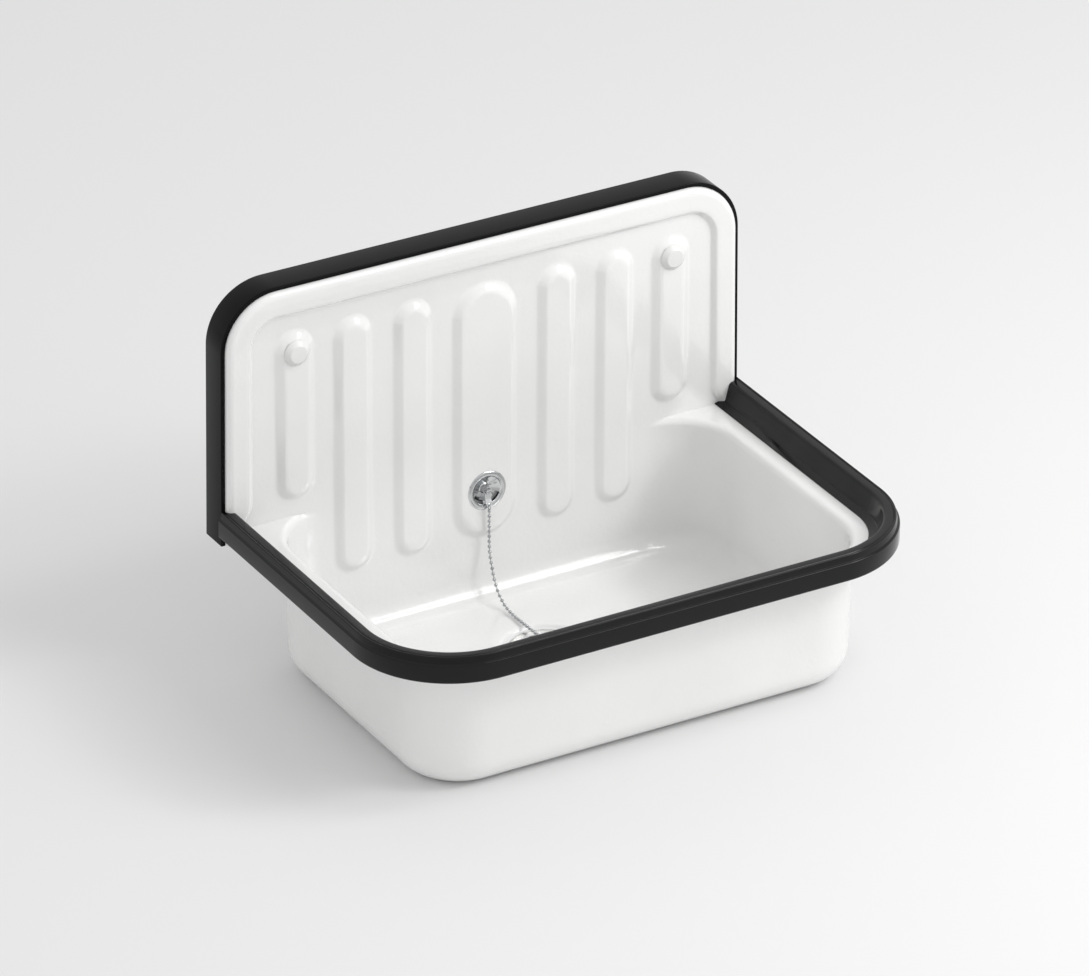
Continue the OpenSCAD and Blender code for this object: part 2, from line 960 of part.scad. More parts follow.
module plug_cap() {
    cap_r = plug_bore_d / 2 + 1;
    color(chrome)
        at_drain()
            rotate_extrude()
                polygon([
                    [0, plug_top],
                    [cap_r, plug_top],
                    [cap_r, plug_top + plug_cap_t / 2],
                    [cap_r - 0.6, plug_top + plug_cap_t],
                    [cap_r * 0.6, plug_top + plug_cap_t + plug_dome * 0.7],
                    [eye_mean_r, plug_top + plug_cap_t + plug_dome],
                    [0, plug_top + plug_cap_t + plug_dome]
                ]);
}

// Wire loop that stands on the cap, facing front and rear
module plug_eye() {
    foot_z = plug_top + plug_cap_t + plug_dome;
    color(chrome)
        at_drain() {
            translate([0, 0, eye_z])
                rotate([90, 0, 0])
                    rotate_extrude(angle = 180)
                        translate([eye_mean_r, 0])
                            circle(d = eye_wire);
            for (side = [-1, 1])
                translate([side * eye_mean_r, 0, foot_z])
                    cylinder(h = eye_z - foot_z, d = eye_wire);
        }
}

// Waste

module waste_flange() {
    throat_r = throat_d / 2;
    bore_r = plug_bore_d / 2;
    grid_hole_x = bore_r * 0.62;
    grid_hole_d = bore_r * 0.46;
    low = flange_z - throat_deep;
    color(chrome)
        at_drain()
            difference() {
                rotate_extrude()
                    polygon([
                        [0, low],
                        [throat_r, low],
                        [throat_r, flange_z],
                        [flange_d / 2, flange_z],
                        [flange_d / 2, flange_z + flange_t / 2],
                        [flange_d / 2 - 1.5, flange_top],
                        [flange_d / 2 - 3, flange_top],
                        [bore_r + 3, seat_z + 0.7],
                        [bore_r, seat_z],
                        [bore_r, low + grid_t],
                        [0, low + grid_t]
                    ]);
                translate([0, 0, low - past])
                    cylinder(h = grid_t + 2 * past, d = waste_screw_d + 2 * fit);
                for (turn = [0:60:300])
                    rotate([0, 0, turn])
                        translate([grid_hole_x, 0, low - past])
                            cylinder(h = grid_t + 2 * past, d = grid_hole_d);
            }
}

// Flat ring on the drain's axis, from height z up
module washer(z, t, outer_d, bore_d) {
    at_drain()
        translate([0, 0, z])
            difference() {
                cylinder(h = t, d = outer_d);
                translate([0, 0, -past])
                    cylinder(h = t + 2 * past, d = bore_d);
            }
}

module flange_seal() {
    color(rubber)
        washer(recess_z, flange_seal_t, flange_d - 2, drain_hole_d);
}

module body_seal() {
    color(rubber)
        washer(body_z, body_seal_t, flange_d - 2, drain_hole_d);
}

module waste_body() {
    flange_h = 3;
    web = 3;
    boss_d = 2 * waste_screw_d + 2;
    boss_top = body_z - 12;
    boss_h = 14;
    outlet_bore = outlet_d - 2 * body_t;
    color(plastic)
        at_drain()
            difference() {
                union() {
                    translate([0, 0, body_floor_z])
                        cylinder(h = body_deep, r = body_r);
                    translate([0, 0, body_z - flange_h])
                        cylinder(h = flange_h, d = flange_d);
                    translate([0, 0, outlet_z])
                        cylinder(h = outlet_l, d = outlet_d);
                    translate([0, 0, port_z])
                        rotate([-90, 0, 0])
                            cylinder(h = port_reach, d = spigot_d);
                }
                difference() {
                    translate([0, 0, body_floor_z + body_t])
                        cylinder(h = body_deep, r = body_r - body_t);
                    translate([0, 0, boss_top - boss_h])
                        cylinder(h = boss_h, d = boss_d);
                    for (turn = [30, 150, 270])
                        rotate([0, 0, turn])
                            translate([boss_d / 2 - 1, -web / 2, boss_top - boss_h])
                                cube([body_r - boss_d / 2, web, boss_h]);
                }
                translate([0, 0, outlet_z - past])
                    cylinder(h = outlet_l + body_t + 2 * past, d = outlet_bore);
                translate([0, body_r - body_t - 2, port_z])
                    rotate([-90, 0, 0])
                        cylinder(h = port_reach, d = spigot_d - 4);
                translate([0, 0, boss_top - boss_h - past])
                    cylinder(h = boss_h + 2 * past, d = waste_screw_d + 2 * fit);
            }
}

module waste_screw() {
    top = flange_z - throat_deep + grid_t;
    head_h = 2.2;
    length = top - body_z + 24;
    color(chrome)
        at_drain()
            difference() {
                union() {
                    translate([0, 0, top - length])
                        cylinder(h = length, d = waste_screw_d);
                    translate([0, 0, top])
                        cylinder(h = head_h, d1 = 2 * waste_screw_d, d2 = 1.6 * waste_screw_d);
                }
                for (turn = [0, 90])
                    rotate([0, 0, turn])
                        translate([-waste_screw_d / 2, -0.5, top + head_h - 1.3])
                            cube([waste_screw_d, 1, 2]);
            }
}

// Hose

// Length of hose pushed over the waste body's spigot
spigot_lap = 12;
hose_top = overflow_z - overflow_hole_d / 2 - 2;
hose_end = drain_reach - port_reach + spigot_lap;
hose_fall = hose_top - port_z - hose_bend;
hose_run = hose_end - hose_y - hose_bend;
hose_arc = hose_bend * PI / 2;
hose_l = hose_fall + hose_arc + hose_run;
hose_sides = 8;
hose_cuff = hose_d;
// Length of hose that a clamping ring covers
nut_h = 11;
nut_set = nut_h + 1;
hose_ribs = floor((hose_l - 2 * hose_cuff) / hose_pitch);
rib_step = (hose_l - 2 * hose_cuff) / hose_ribs;
bore_corner = (spigot_d / 2 + fit) / cos(180 / hose_sides);
cuff_r = bore_corner + 0.9;
root_r = bore_corner + 0.6;
crest_r = hose_d / 2;

// Middle of the hose at length s, as [y, z, angle of its direction from straight down]
function hose_at(s) = s <= hose_fall
    ? [-hose_y, hose_top - s, 0]
    : s <= hose_fall + hose_arc
        ? let (a = (s - hose_fall) / hose_bend * 180 / PI)
            [-hose_y - hose_bend * (1 - cos(a)), port_z + hose_bend - hose_bend * sin(a), a]
        : [-hose_y - hose_bend - (s - hose_fall - hose_arc), port_z, 90];

// Ring of points round the hose at length s
function hose_ring(s, r) = let (p = hose_at(s))
    [for (k = [0:hose_sides - 1])
        let (t = (k + 0.5) * 360 / hose_sides)
            [r * cos(t), p[0] + r * sin(t) * cos(p[2]), p[1] - r * sin(t) * sin(p[2])]];

// Lengths and radii of the outer rings: cuff, then a root and a crest for each rib, then cuff
hose_rings = concat(
    [[0, cuff_r], [hose_cuff - rib_step / 2, cuff_r]],
    [for (i = [0:hose_ribs - 1]) each [
        [hose_cuff + i * rib_step, root_r],
        [hose_cuff + (i + 0.5) * rib_step, crest_r]
    ]],
    [[hose_l - hose_cuff, root_r], [hose_l - hose_cuff + rib_step / 2, cuff_r], [hose_l, cuff_r]]
);

module overflow_hose() {
    n = len(hose_rings);
    outer = [for (q = hose_rings) each hose_ring(q[0], q[1])];
    inner = [for (q = hose_rings) each hose_ring(q[0], bore_corner)];
    m = hose_sides;
    quads = concat(
        [for (i = [0:n - 2], k = [0:m - 1])
            [i * m + k, i * m + (k + 1) % m, (i + 1) * m + (k + 1) % m, (i + 1) * m + k]],
        [for (i = [0:n - 2], k = [0:m - 1])
            [n * m + i * m + (k + 1) % m, n * m + i * m + k,
                n * m + (i + 1) * m + k, n * m + (i + 1) * m + (k + 1) % m]],
        [for (k = [0:m - 1])
            [(k + 1) % m, k, n * m + k, n * m + (k + 1) % m]],
        [for (k = [0:m - 1])
            [(n - 1) * m + k, (n - 1) * m + (k + 1) % m,
                (2 * n - 1) * m + (k + 1) % m, (2 * n - 1) * m + k]]
    );
    faces = [for (q = quads) each [[q[0], q[1], q[2]], [q[0], q[2], q[3]]]];
    color(plastic)
        hang()
            polyhedron(points = concat(outer, inner), faces = faces);
}

// Clamping ring round a hose cuff
module hose_nut() {
    difference() {
        cylinder(h = nut_h, d = 2 * cuff_r + 4);
        translate([0, 0, -past])
            cylinder(h = nut_h + 2 * past, r = cuff_r + fit);
        for (turn = [0:30:330])
            rotate([0, 0, turn])
                translate([cuff_r + 2.5, 0, 2])
                    cylinder(h = nut_h - 4, d = 2);
    }
}

module hose_nut_top() {
    color(nylon)
        hang()
            translate([0, -hose_y, hose_top - nut_set])
                hose_nut();
}

module hose_nut_low() {
    color(nylon)
        hang()
            translate([0, -hose_end + nut_set, port_z])
                rotate([90, 0, 0])
                    hose_nut();
}

basin();
back_trim();
rim_trim();
fixing_sleeves();
fixing_caps();
overflow_rosette();
overflow_seal();
overflow_body();
overflow_screw();
chain_eye();
chain_1();
chain_2();
chain_3();
chain_4();
chain_5();
chain_6();
chain_7();
plug_stopper();
plug_cap();
plug_eye();
waste_flange();
flange_seal();
body_seal();
waste_body();
waste_screw();
overflow_hose();
hose_nut_top();
hose_nut_low();
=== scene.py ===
"""Bucket sink: the looks of an enamelled steel sink with black edge profiles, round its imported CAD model."""

from math import acos, atan2, cos, hypot, pi, radians, sin, sqrt, tan

import bmesh
import bpy
import numpy as np
from bpy.props import FloatProperty, FloatVectorProperty, PointerProperty
from bpy.types import Operator, Panel, PropertyGroup
from mathutils import Matrix, Vector


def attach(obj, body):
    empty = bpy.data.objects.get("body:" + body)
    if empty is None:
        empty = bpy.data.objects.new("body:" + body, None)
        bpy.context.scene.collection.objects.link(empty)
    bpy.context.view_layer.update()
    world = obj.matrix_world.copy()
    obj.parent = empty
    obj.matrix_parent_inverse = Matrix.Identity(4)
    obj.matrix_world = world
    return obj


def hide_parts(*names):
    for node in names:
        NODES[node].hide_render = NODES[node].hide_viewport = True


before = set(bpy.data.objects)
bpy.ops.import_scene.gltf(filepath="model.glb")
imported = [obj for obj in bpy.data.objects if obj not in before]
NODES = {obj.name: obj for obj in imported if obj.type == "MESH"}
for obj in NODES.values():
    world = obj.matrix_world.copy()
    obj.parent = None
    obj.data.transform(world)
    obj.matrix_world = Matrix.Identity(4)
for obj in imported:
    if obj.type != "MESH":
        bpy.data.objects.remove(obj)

bl_info = {
    "name": "Bucket sink",
    "version": (1, 0, 0),
    "blender": (4, 5, 0),
    "location": "3D View > Sidebar > Sink",
    "description": "Builds the surfaces and finishes of an enamelled bucket sink",
    "category": "Object",
}

# Sizes in millimetres. Z is the height above the bowl's underside, "out" the distance from the wall, x the
# distance sideways from the middle, and R a radius from the axis of an outline's corner.

# The frame's origin lies between the two wall fixings, at this height
FIXING_X, FIXING_Z = 182.0, 281.5
SHEET = 2.5
# Back panel: its field, its raised border, the axes of its corners and its return flange, leaning outwards
FIELD = 28.8
BORDER = 33.0
CORNER_X, CORNER_Z = 197.82, 291.7
LEAN = 0.012
FLANGE_R = 48.6
SKIRT_Z = 114.0
BACK_TAIL = 2.1
# Black profile on the flange
TRIM_R, TRIM_DEPTH = 52.4, 27.4
# Pressed ribs, whose face the caps and the overflow sit on
RIB_TOP, RIB_FLANK, RIB_FACE = 300.4, 7.4, 33.3
OVERFLOW_Z = 104.1
# Bowl: the axes of its corners, its rolled mouth, the draft of its walls and the round edge of its floor
BOWL_X, BOWL_FRONT, BOWL_REAR = 157.0, 260.7, 84.3
LEDGE_Z = 126.3
MOUTH_R, MOUTH_ROUND = 55.5, 6.5
MOUTH_Z = LEDGE_Z - MOUTH_ROUND
DRAFT = tan(radians(1))
INNER_ROUND = 21.9
DRAIN_OUT = 137.0
# Rim: the axes of its corners, the upturned edge and the black profile over it
RIM_X, RIM_OUT = 164.9, 261.3
UPSTAND_R, RIM_R = 77.1, 90.1


# Helpers


def to_frame(points):
    """Turns points (x, out, height) in millimetres into the frame's metres."""
    p = np.asarray(points, float).reshape(-1, 3)
    return np.column_stack([p[:, 0], -p[:, 1], p[:, 2] - FIXING_Z]) / 1000


def new_object(name, vertices, faces, edges=()):
    """Adds an object whose mesh has these vertices, in metres in the frame."""
    mesh = bpy.data.meshes.new(name)
    mesh.from_pydata([tuple(v) for v in vertices], list(edges), [tuple(map(int, f)) for f in faces])
    mesh.validate()
    obj = bpy.data.objects.new(name, mesh)
    bpy.context.scene.collection.objects.link(obj)
    return obj


def tidy_mesh(obj, merge=1e-5):
    """Merges doubles and points all faces the same way, outwards on a closed shell."""
    bm = bmesh.new()
    bm.from_mesh(obj.data)
    bmesh.ops.remove_doubles(bm, verts=bm.verts, dist=merge)
    bmesh.ops.recalc_face_normals(bm, faces=bm.faces)
    bm.to_mesh(obj.data)
    bm.free()


def apply_modifiers(obj):
    """Replaces the object's mesh by its evaluated mesh and removes its modifiers."""
    graph = bpy.context.evaluated_depsgraph_get()
    made = bpy.data.meshes.new_from_object(obj.evaluated_get(graph), depsgraph=graph)
    obj.modifiers.clear()
    old = obj.data
    obj.data = made
    made.name = obj.name
    bpy.data.meshes.remove(old)


def thicken(obj, thickness):
    """Gives a sheet its thickness in metres, on the side away from its faces."""
    shell = obj.modifiers.new("Sheet", "SOLIDIFY")
    shell.thickness = thickness
    shell.offset = -1.0
    shell.use_even_offset = True
    shell.use_quality_normals = True
    apply_modifiers(obj)


def shade(obj, angle):
    """Shades the piece smooth, with the edges sharper than the angle kept sharp."""
    obj.data.shade_smooth()
    obj.data.set_sharp_from_angle(angle=radians(angle))


def finish_piece(obj, body, finish, node):
    """Gives a piece its material, slot and body, and hides the CAD node it stands for."""
    obj.data.materials.clear()
    obj.data.materials.append(MATERIALS[finish])
    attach(obj, body)
    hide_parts(node)


def paint_nodes(**finishes):
    """Gives CAD nodes that stay as they are their materials."""
    for name, finish in finishes.items():
        obj = NODES[name]
        if not obj.material_slots:
            obj.data.materials.append(MATERIALS[finish])
        for held in obj.material_slots:
            held.material = MATERIALS[finish]


def ease(t):
    """Rises from 0 to 1 as t does, with level ends."""
    t = min(max(t, 0.0), 1.0)
    return t * t * (3 - 2 * t)


def spread(start, *runs):
    """A rising list of values from a start through runs of (end, number of steps)."""
    out = [start]
    for end, steps in runs:
        out += [start + (end - start) * k / steps for k in range(1, steps + 1)]
        start = end
    return out


# Materials


def linear(value):
    """Turns a hex sRGB colour, such as "F2F2EF", into linear RGBA."""
    parts = [int(value[i : i + 2], 16) / 255 for i in (0, 2, 4)]
    return [c / 12.92 if c <= 0.04045 else ((c + 0.055) / 1.055) ** 2.4 for c in parts] + [1.0]


def tint(value):
    """A colour as linear RGBA, from a hex text or from a property."""
    return linear(value) if isinstance(value, str) else list(value)


def add(tree, kind, settings=None, links=None, inputs=None):
    """Adds a node with its settings, links and input values; returns it."""
    node = tree.nodes.new(kind)
    for key, value in (settings or {}).items():
        setattr(node, key, value)
    for key, value in (inputs or {}).items():
        node.inputs[key].default_value = value
    for key, source in (links or {}).items():
        tree.links.new(source, node.inputs[key])
    return node


def material(name, shader_values):
    """Starts a material: returns it, its tree, its shader and the object coordinates."""
    made = bpy.data.materials.new(name)
    made.use_nodes = True
    tree = made.node_tree
    shader = tree.nodes["Principled BSDF"]
    for key, value in shader_values.items():
        shader.inputs[key].default_value = value
    place = add(tree, "ShaderNodeTexCoord").outputs["Object"]
    return made, tree, shader, place


def patches(tree, place, scale, detail, low=0.0, high=1.0, edges=(0.3, 0.7)):
    """A value that wanders from low to high in soft patches; the scale is in patches a metre."""
    cloud = add(tree, "ShaderNodeTexNoise", None, {"Vector": place}, {"Scale": scale, "Detail": detail})
    limits = {"From Min": edges[0], "From Max": edges[1], "To Min": low, "To Max": high}
    return add(tree, "ShaderNodeMapRange", None, {"Value": cloud.outputs["Fac"]}, limits).outputs["Result"]


def two_tones(tree, dark, light, share):
    """A colour between dark and light by a share from 0 to 1."""
    tones = {"A": tint(dark), "B": tint(light)}
    return add(tree, "ShaderNodeMix", {"data_type": "RGBA"}, {"Factor": share}, tones).outputs["Result"]


def relief(tree, shader, place, grains, depth, strength):
    """Raises the surface by a sum of noises, given as (scale, detail, share), to a depth in metres."""
    height = None
    for scale, detail, share in grains:
        cloud = add(tree, "ShaderNodeTexNoise", None, {"Vector": place}, {"Scale": scale, "Detail": detail})
        links = {0: cloud.outputs["Fac"]}
        if height is not None:
            links[2] = height
        inputs = {1: share, 2: 0.0}
        height = add(tree, "ShaderNodeMath", {"operation": "MULTIPLY_ADD"}, links, inputs).outputs[0]
    inputs = {"Strength": strength, "Distance": depth}
    node = add(tree, "ShaderNodeBump", None, {"Height": height}, inputs)
    tree.links.new(node.outputs["Normal"], shader.inputs["Normal"])


def vitreous_enamel(dark, light):
    # White vitreous enamel fired on pressed steel: a hard glass coat, glossy, with a faint orange peel
    coat = {"IOR": 1.5, "Coat Weight": 0.7, "Coat Roughness": 0.02}
    made, tree, shader, place = material("Vitreous_enamel_white", coat)
    clouds = two_tones(tree, dark, light, patches(tree, place, 9.0, 3.0, edges=(0.35, 0.65)))
    # Pinholes about 0.2 mm across and 4 mm apart
    specks = add(tree, "ShaderNodeTexVoronoi", None, {"Vector": place}, {"Scale": 260.0}).outputs["Distance"]
    limits = {"From Min": 0.03, "From Max": 0.06, "To Min": 0.93, "To Max": 1.0}
    dots = add(tree, "ShaderNodeMapRange", None, {"Value": specks}, limits).outputs["Result"]
    blend = {"data_type": "RGBA", "blend_type": "MULTIPLY"}
    pitted = add(tree, "ShaderNodeMix", blend, {"A": clouds, "B": dots}, {"Factor": 0.35})
    tree.links.new(pitted.outputs["Result"], shader.inputs["Base Color"])
    tree.links.new(patches(tree, place, 40.0, 2.0, 0.12, 0.2), shader.inputs["Roughness"])
    # A slow sag about 30 mm long under the peel, whose dimples are about 4 mm apart
    relief(tree, shader, place, [(32.0, 1.0, 1.0), (240.0, 1.0, 0.7)], 0.0004, 0.5)
    return made


def extruded_profile(name, colour, rough, shine):
    # Extruded black PVC edge profile: a smooth satin skin with rubbed patches and faint mould grain
    made, tree, shader, place = material(name, {"IOR": 1.5, "Specular IOR Level": shine})
    worn = [c * 1.35 for c in colour[:3]] + [1.0]
    tone = two_tones(tree, colour, worn, patches(tree, place, 14.0, 4.0))
    tree.links.new(tone, shader.inputs["Base Color"])
    tree.links.new(patches(tree, place, 60.0, 3.0, rough - 0.05, rough + 0.06), shader.inputs["Roughness"])
    relief(tree, shader, place, [(900.0, 2.0, 1.0)], 0.00003, 0.4)
    return made


def plated_metal(name, dark, light, rough):
    # Plated or polished sheet metal: bright, with fine polishing marks and a haze from handling
    made, tree, shader, place = material(name, {"Metallic": 1.0})
    tone = two_tones(tree, dark, light, patches(tree, place, 60.0, 2.0))
    tree.links.new(tone, shader.inputs["Base Color"])
    tree.links.new(patches(tree, place, 300.0, 3.0, rough - 0.03, rough + 0.06), shader.inputs["Roughness"])
    relief(tree, shader, place, [(1500.0, 2.0, 1.0)], 0.00001, 0.4)
    return made


def moulded_plastic(name, dark, light, rough):
    # Injection moulded plastic or rubber: satin, with a mould grain of about 1.5 mm
    made, tree, shader, place = material(name, {"IOR": 1.48})
    tone = two_tones(tree, dark, light, patches(tree, place, 25.0, 3.0))
    tree.links.new(tone, shader.inputs["Base Color"])
    tree.links.new(patches(tree, place, 120.0, 2.0, rough - 0.05, rough + 0.07), shader.inputs["Roughness"])
    relief(tree, shader, place, [(700.0, 2.0, 1.0)], 0.00005, 0.5)
    return made


MATERIALS = {}


def make_materials(look):
    MATERIALS.update(
        enamel=vitreous_enamel(look.enamel_dark, look.enamel_light),
        back_profile=extruded_profile("Extruded_PVC_black", look.profile_tone, look.profile_rough, 0.1),
        rim_profile=extruded_profile("Extruded_PVC_black_rim", look.profile_tone, look.rim_rough, 0.25),
        chrome=plated_metal("Chromium_plate", "C6C8CA", "D6D7D8", 0.1),
        chain=plated_metal("Nickel_plate_chain", "A8AAAC", "B8BABC", 0.12),
        flange=plated_metal("Stainless_steel_pressed", "D2D2D0", "DDDDDB", 0.24),
        cap=moulded_plastic("Moulded_polypropylene_white", "E2E2E0", "E8E8E6", 0.3),
        nylon=moulded_plastic("Moulded_nylon_natural", "DCDCD4", "E6E6DF", 0.45),
        plastic=moulded_plastic("Moulded_polypropylene_grey", "C9CACB", "D4D5D5", 0.42),
        hose=moulded_plastic("Blow_moulded_polypropylene_grey", "C4C5C6", "CFD0D0", 0.38),
        rubber=moulded_plastic("Moulded_rubber_black", "1E1E1F", "28282A", 0.6),
    )


# Basin

# Each rib's middle, foot and width, from the wide one in the middle out to those under the fixings
RIBS = [(0.0, 58.5, 62.7)]
for x, foot in ((69.7, 58.5), (126.8, 58.5), (FIXING_X, 141.3)):
    RIBS += [(x, foot, 37.0), (-x, foot, 37.0)]


def fold(t, soft):
    """Rises straight from 0 to 1 as t does, with a bend of this softness at both ends."""
    return (hypot(t, soft) - hypot(t - 1, soft) + 1) / 2


def rib_height(x, z, rise, soft):
    """Height of the pressed ribs above the field at a place on the panel."""
    best = 0.0
    for middle, foot, width in RIBS:
        half = width / 2
        nearest = min(max(z, foot + half), RIB_TOP - half)
        inside = half - hypot(x - middle, z - nearest)
        best = max(best, rise * fold(inside / RIB_FLANK, soft / RIB_FLANK))
    return best


def mirrored(values):
    return [-v for v in reversed(values) if v > 0] + list(values)


# Lines of the basin's mesh, close together where a rib's flank or a bend runs
COLUMNS = [(20.0, 6), (23.0, 1), (32.5, 8), (46.0, 3), (50.0, 1), (60.0, 8), (79.4, 6), (89.4, 8)]
COLUMNS += [(107.1, 4), (117.1, 8), (136.5, 6), (146.5, 8), (BOWL_X, 3)]
COLUMNS = mirrored(spread(0.0, *COLUMNS))
JUNCTION = BOWL_X + sqrt((MOUTH_R + MOUTH_ROUND) ** 2 - MOUTH_R**2)
SIDE_COLUMNS = spread(BOWL_X, (162.3, 3), (171.0, 9), (JUNCTION, 5), (193.0, 3), (CORNER_X, 5))[1:]
ALL_COLUMNS = [-x for x in reversed(SIDE_COLUMNS)] + COLUMNS + SIDE_COLUMNS
FILLET_TOP = SHEET + INNER_ROUND
WALL_ROWS = spread(FILLET_TOP, (57.0, 4), (66.5, 7), (77.0, 4), (85.0, 3), (92.0, 2), (MOUTH_Z, 5))
PANEL_FOOT = 130.0
LOW_ROWS = spread(MOUTH_Z, (123.2, 1), (126.6, 1), (PANEL_FOOT, 1))[1:]
PANEL_ROWS = [(140.2, 3), (150.2, 7), (160.0, 5), (262.0, 7), (270.5, 3), (281.0, 5), (CORNER_Z, 8)]
PANEL_ROWS = spread(PANEL_FOOT, *PANEL_ROWS)[1:]
BAND_R = 23.0
SHARES = [0.05, 0.1, 0.15, 0.2, 0.25, 0.3, 0.35, 0.4, 0.46, 0.64, 0.82, 1.0]
BAND_OUT = UPSTAND_R - 34.9
FLARE_H, FLARE_OUT = 24.0, 9.0


def side_x(r, z):
    """Half width of the panel's outline for corner radius r at height z."""
    return CORNER_X + r + LEAN * max(0.0, CORNER_Z - z)


def flare_at(z):
    """Shift of the border's step where it spreads out to the ledge."""
    return FLARE_OUT * ease((LEDGE_Z + FLARE_H - z) / FLARE_H) ** 1.5


def band_profile():
    """(radius, distance from the wall, share of the flare's shift) from the field to the wall side."""
    rows = []
    for t in spread(0.0, (1.0, 8)):
        rows.append((BAND_R + 0.4 + t * 5.6, FIELD + (BORDER - FIELD) * ease(t), 1.0))
    rows += [(33.0, BORDER, 0.75), (37.0, BORDER, 0.35), (BAND_OUT, BORDER, 0.0)]
    roll = BORDER - TRIM_DEPTH
    for a in spread(0.0, (pi / 2, 6)):
        rows.append((FLANGE_R - roll + roll * sin(a), TRIM_DEPTH + roll * cos(a), 0.0))
    return rows + [(FLANGE_R, 14.0, 0.0), (FLANGE_R, BACK_TAIL, 0.0)]


class Surface:
    """Collects points and faces; faces name their points by number."""

    def __init__(self):
        self.points = []
        self.faces = []

    def grid(self, rows):
        """Adds a grid from equal rows of points and returns their numbers."""
        start = len(self.points)
        for row in rows:
            self.points.extend(row)
        return np.arange(start, len(self.points)).reshape(len(rows), len(rows[0]))

    def fill(self, numbers, j0=0, j1=0, i0=0, i1=0):
        """Adds the faces of a grid, apart from a block of it, and returns the numbers round the block."""
        for j in range(numbers.shape[0] - 1):
            for i in range(numbers.shape[1] - 1):
                if not (j0 <= j < j1 and i0 <= i < i1):
                    corners = numbers[j : j + 2, i : i + 2]
                    self.faces.append((corners[0, 0], corners[0, 1], corners[1, 1], corners[1, 0]))
        edge = [numbers[j0, i] for i in range(i0, i1)] + [numbers[j, i1] for j in range(j0, j1)]
        edge += [numbers[j1, i] for i in range(i1, i0, -1)] + [numbers[j, i0] for j in range(j1, j0, -1)]
        return edge

    def rings(self, edge, middle, circle, sizes):
        """Joins a loop of points to rings, each made by circle(angle, size), at the points' own angles."""
        angles = [middle(*self.points[n]) for n in edge]
        for size in sizes:
            ring = [len(self.points) + k for k in range(len(edge))]
            self.points.extend(circle(a, size) for a in angles)
            for k in range(len(ring)):
                m = (k + 1) % len(ring)
                self.faces.append((edge[k], edge[m], ring[m], ring[k]))
            edge = ring


def block(values, low, high):
    """Where a list of values comes nearest to a low and a high one."""
    return [min(range(len(values)), key=lambda k: abs(values[k] - end)) for end in (low, high)]


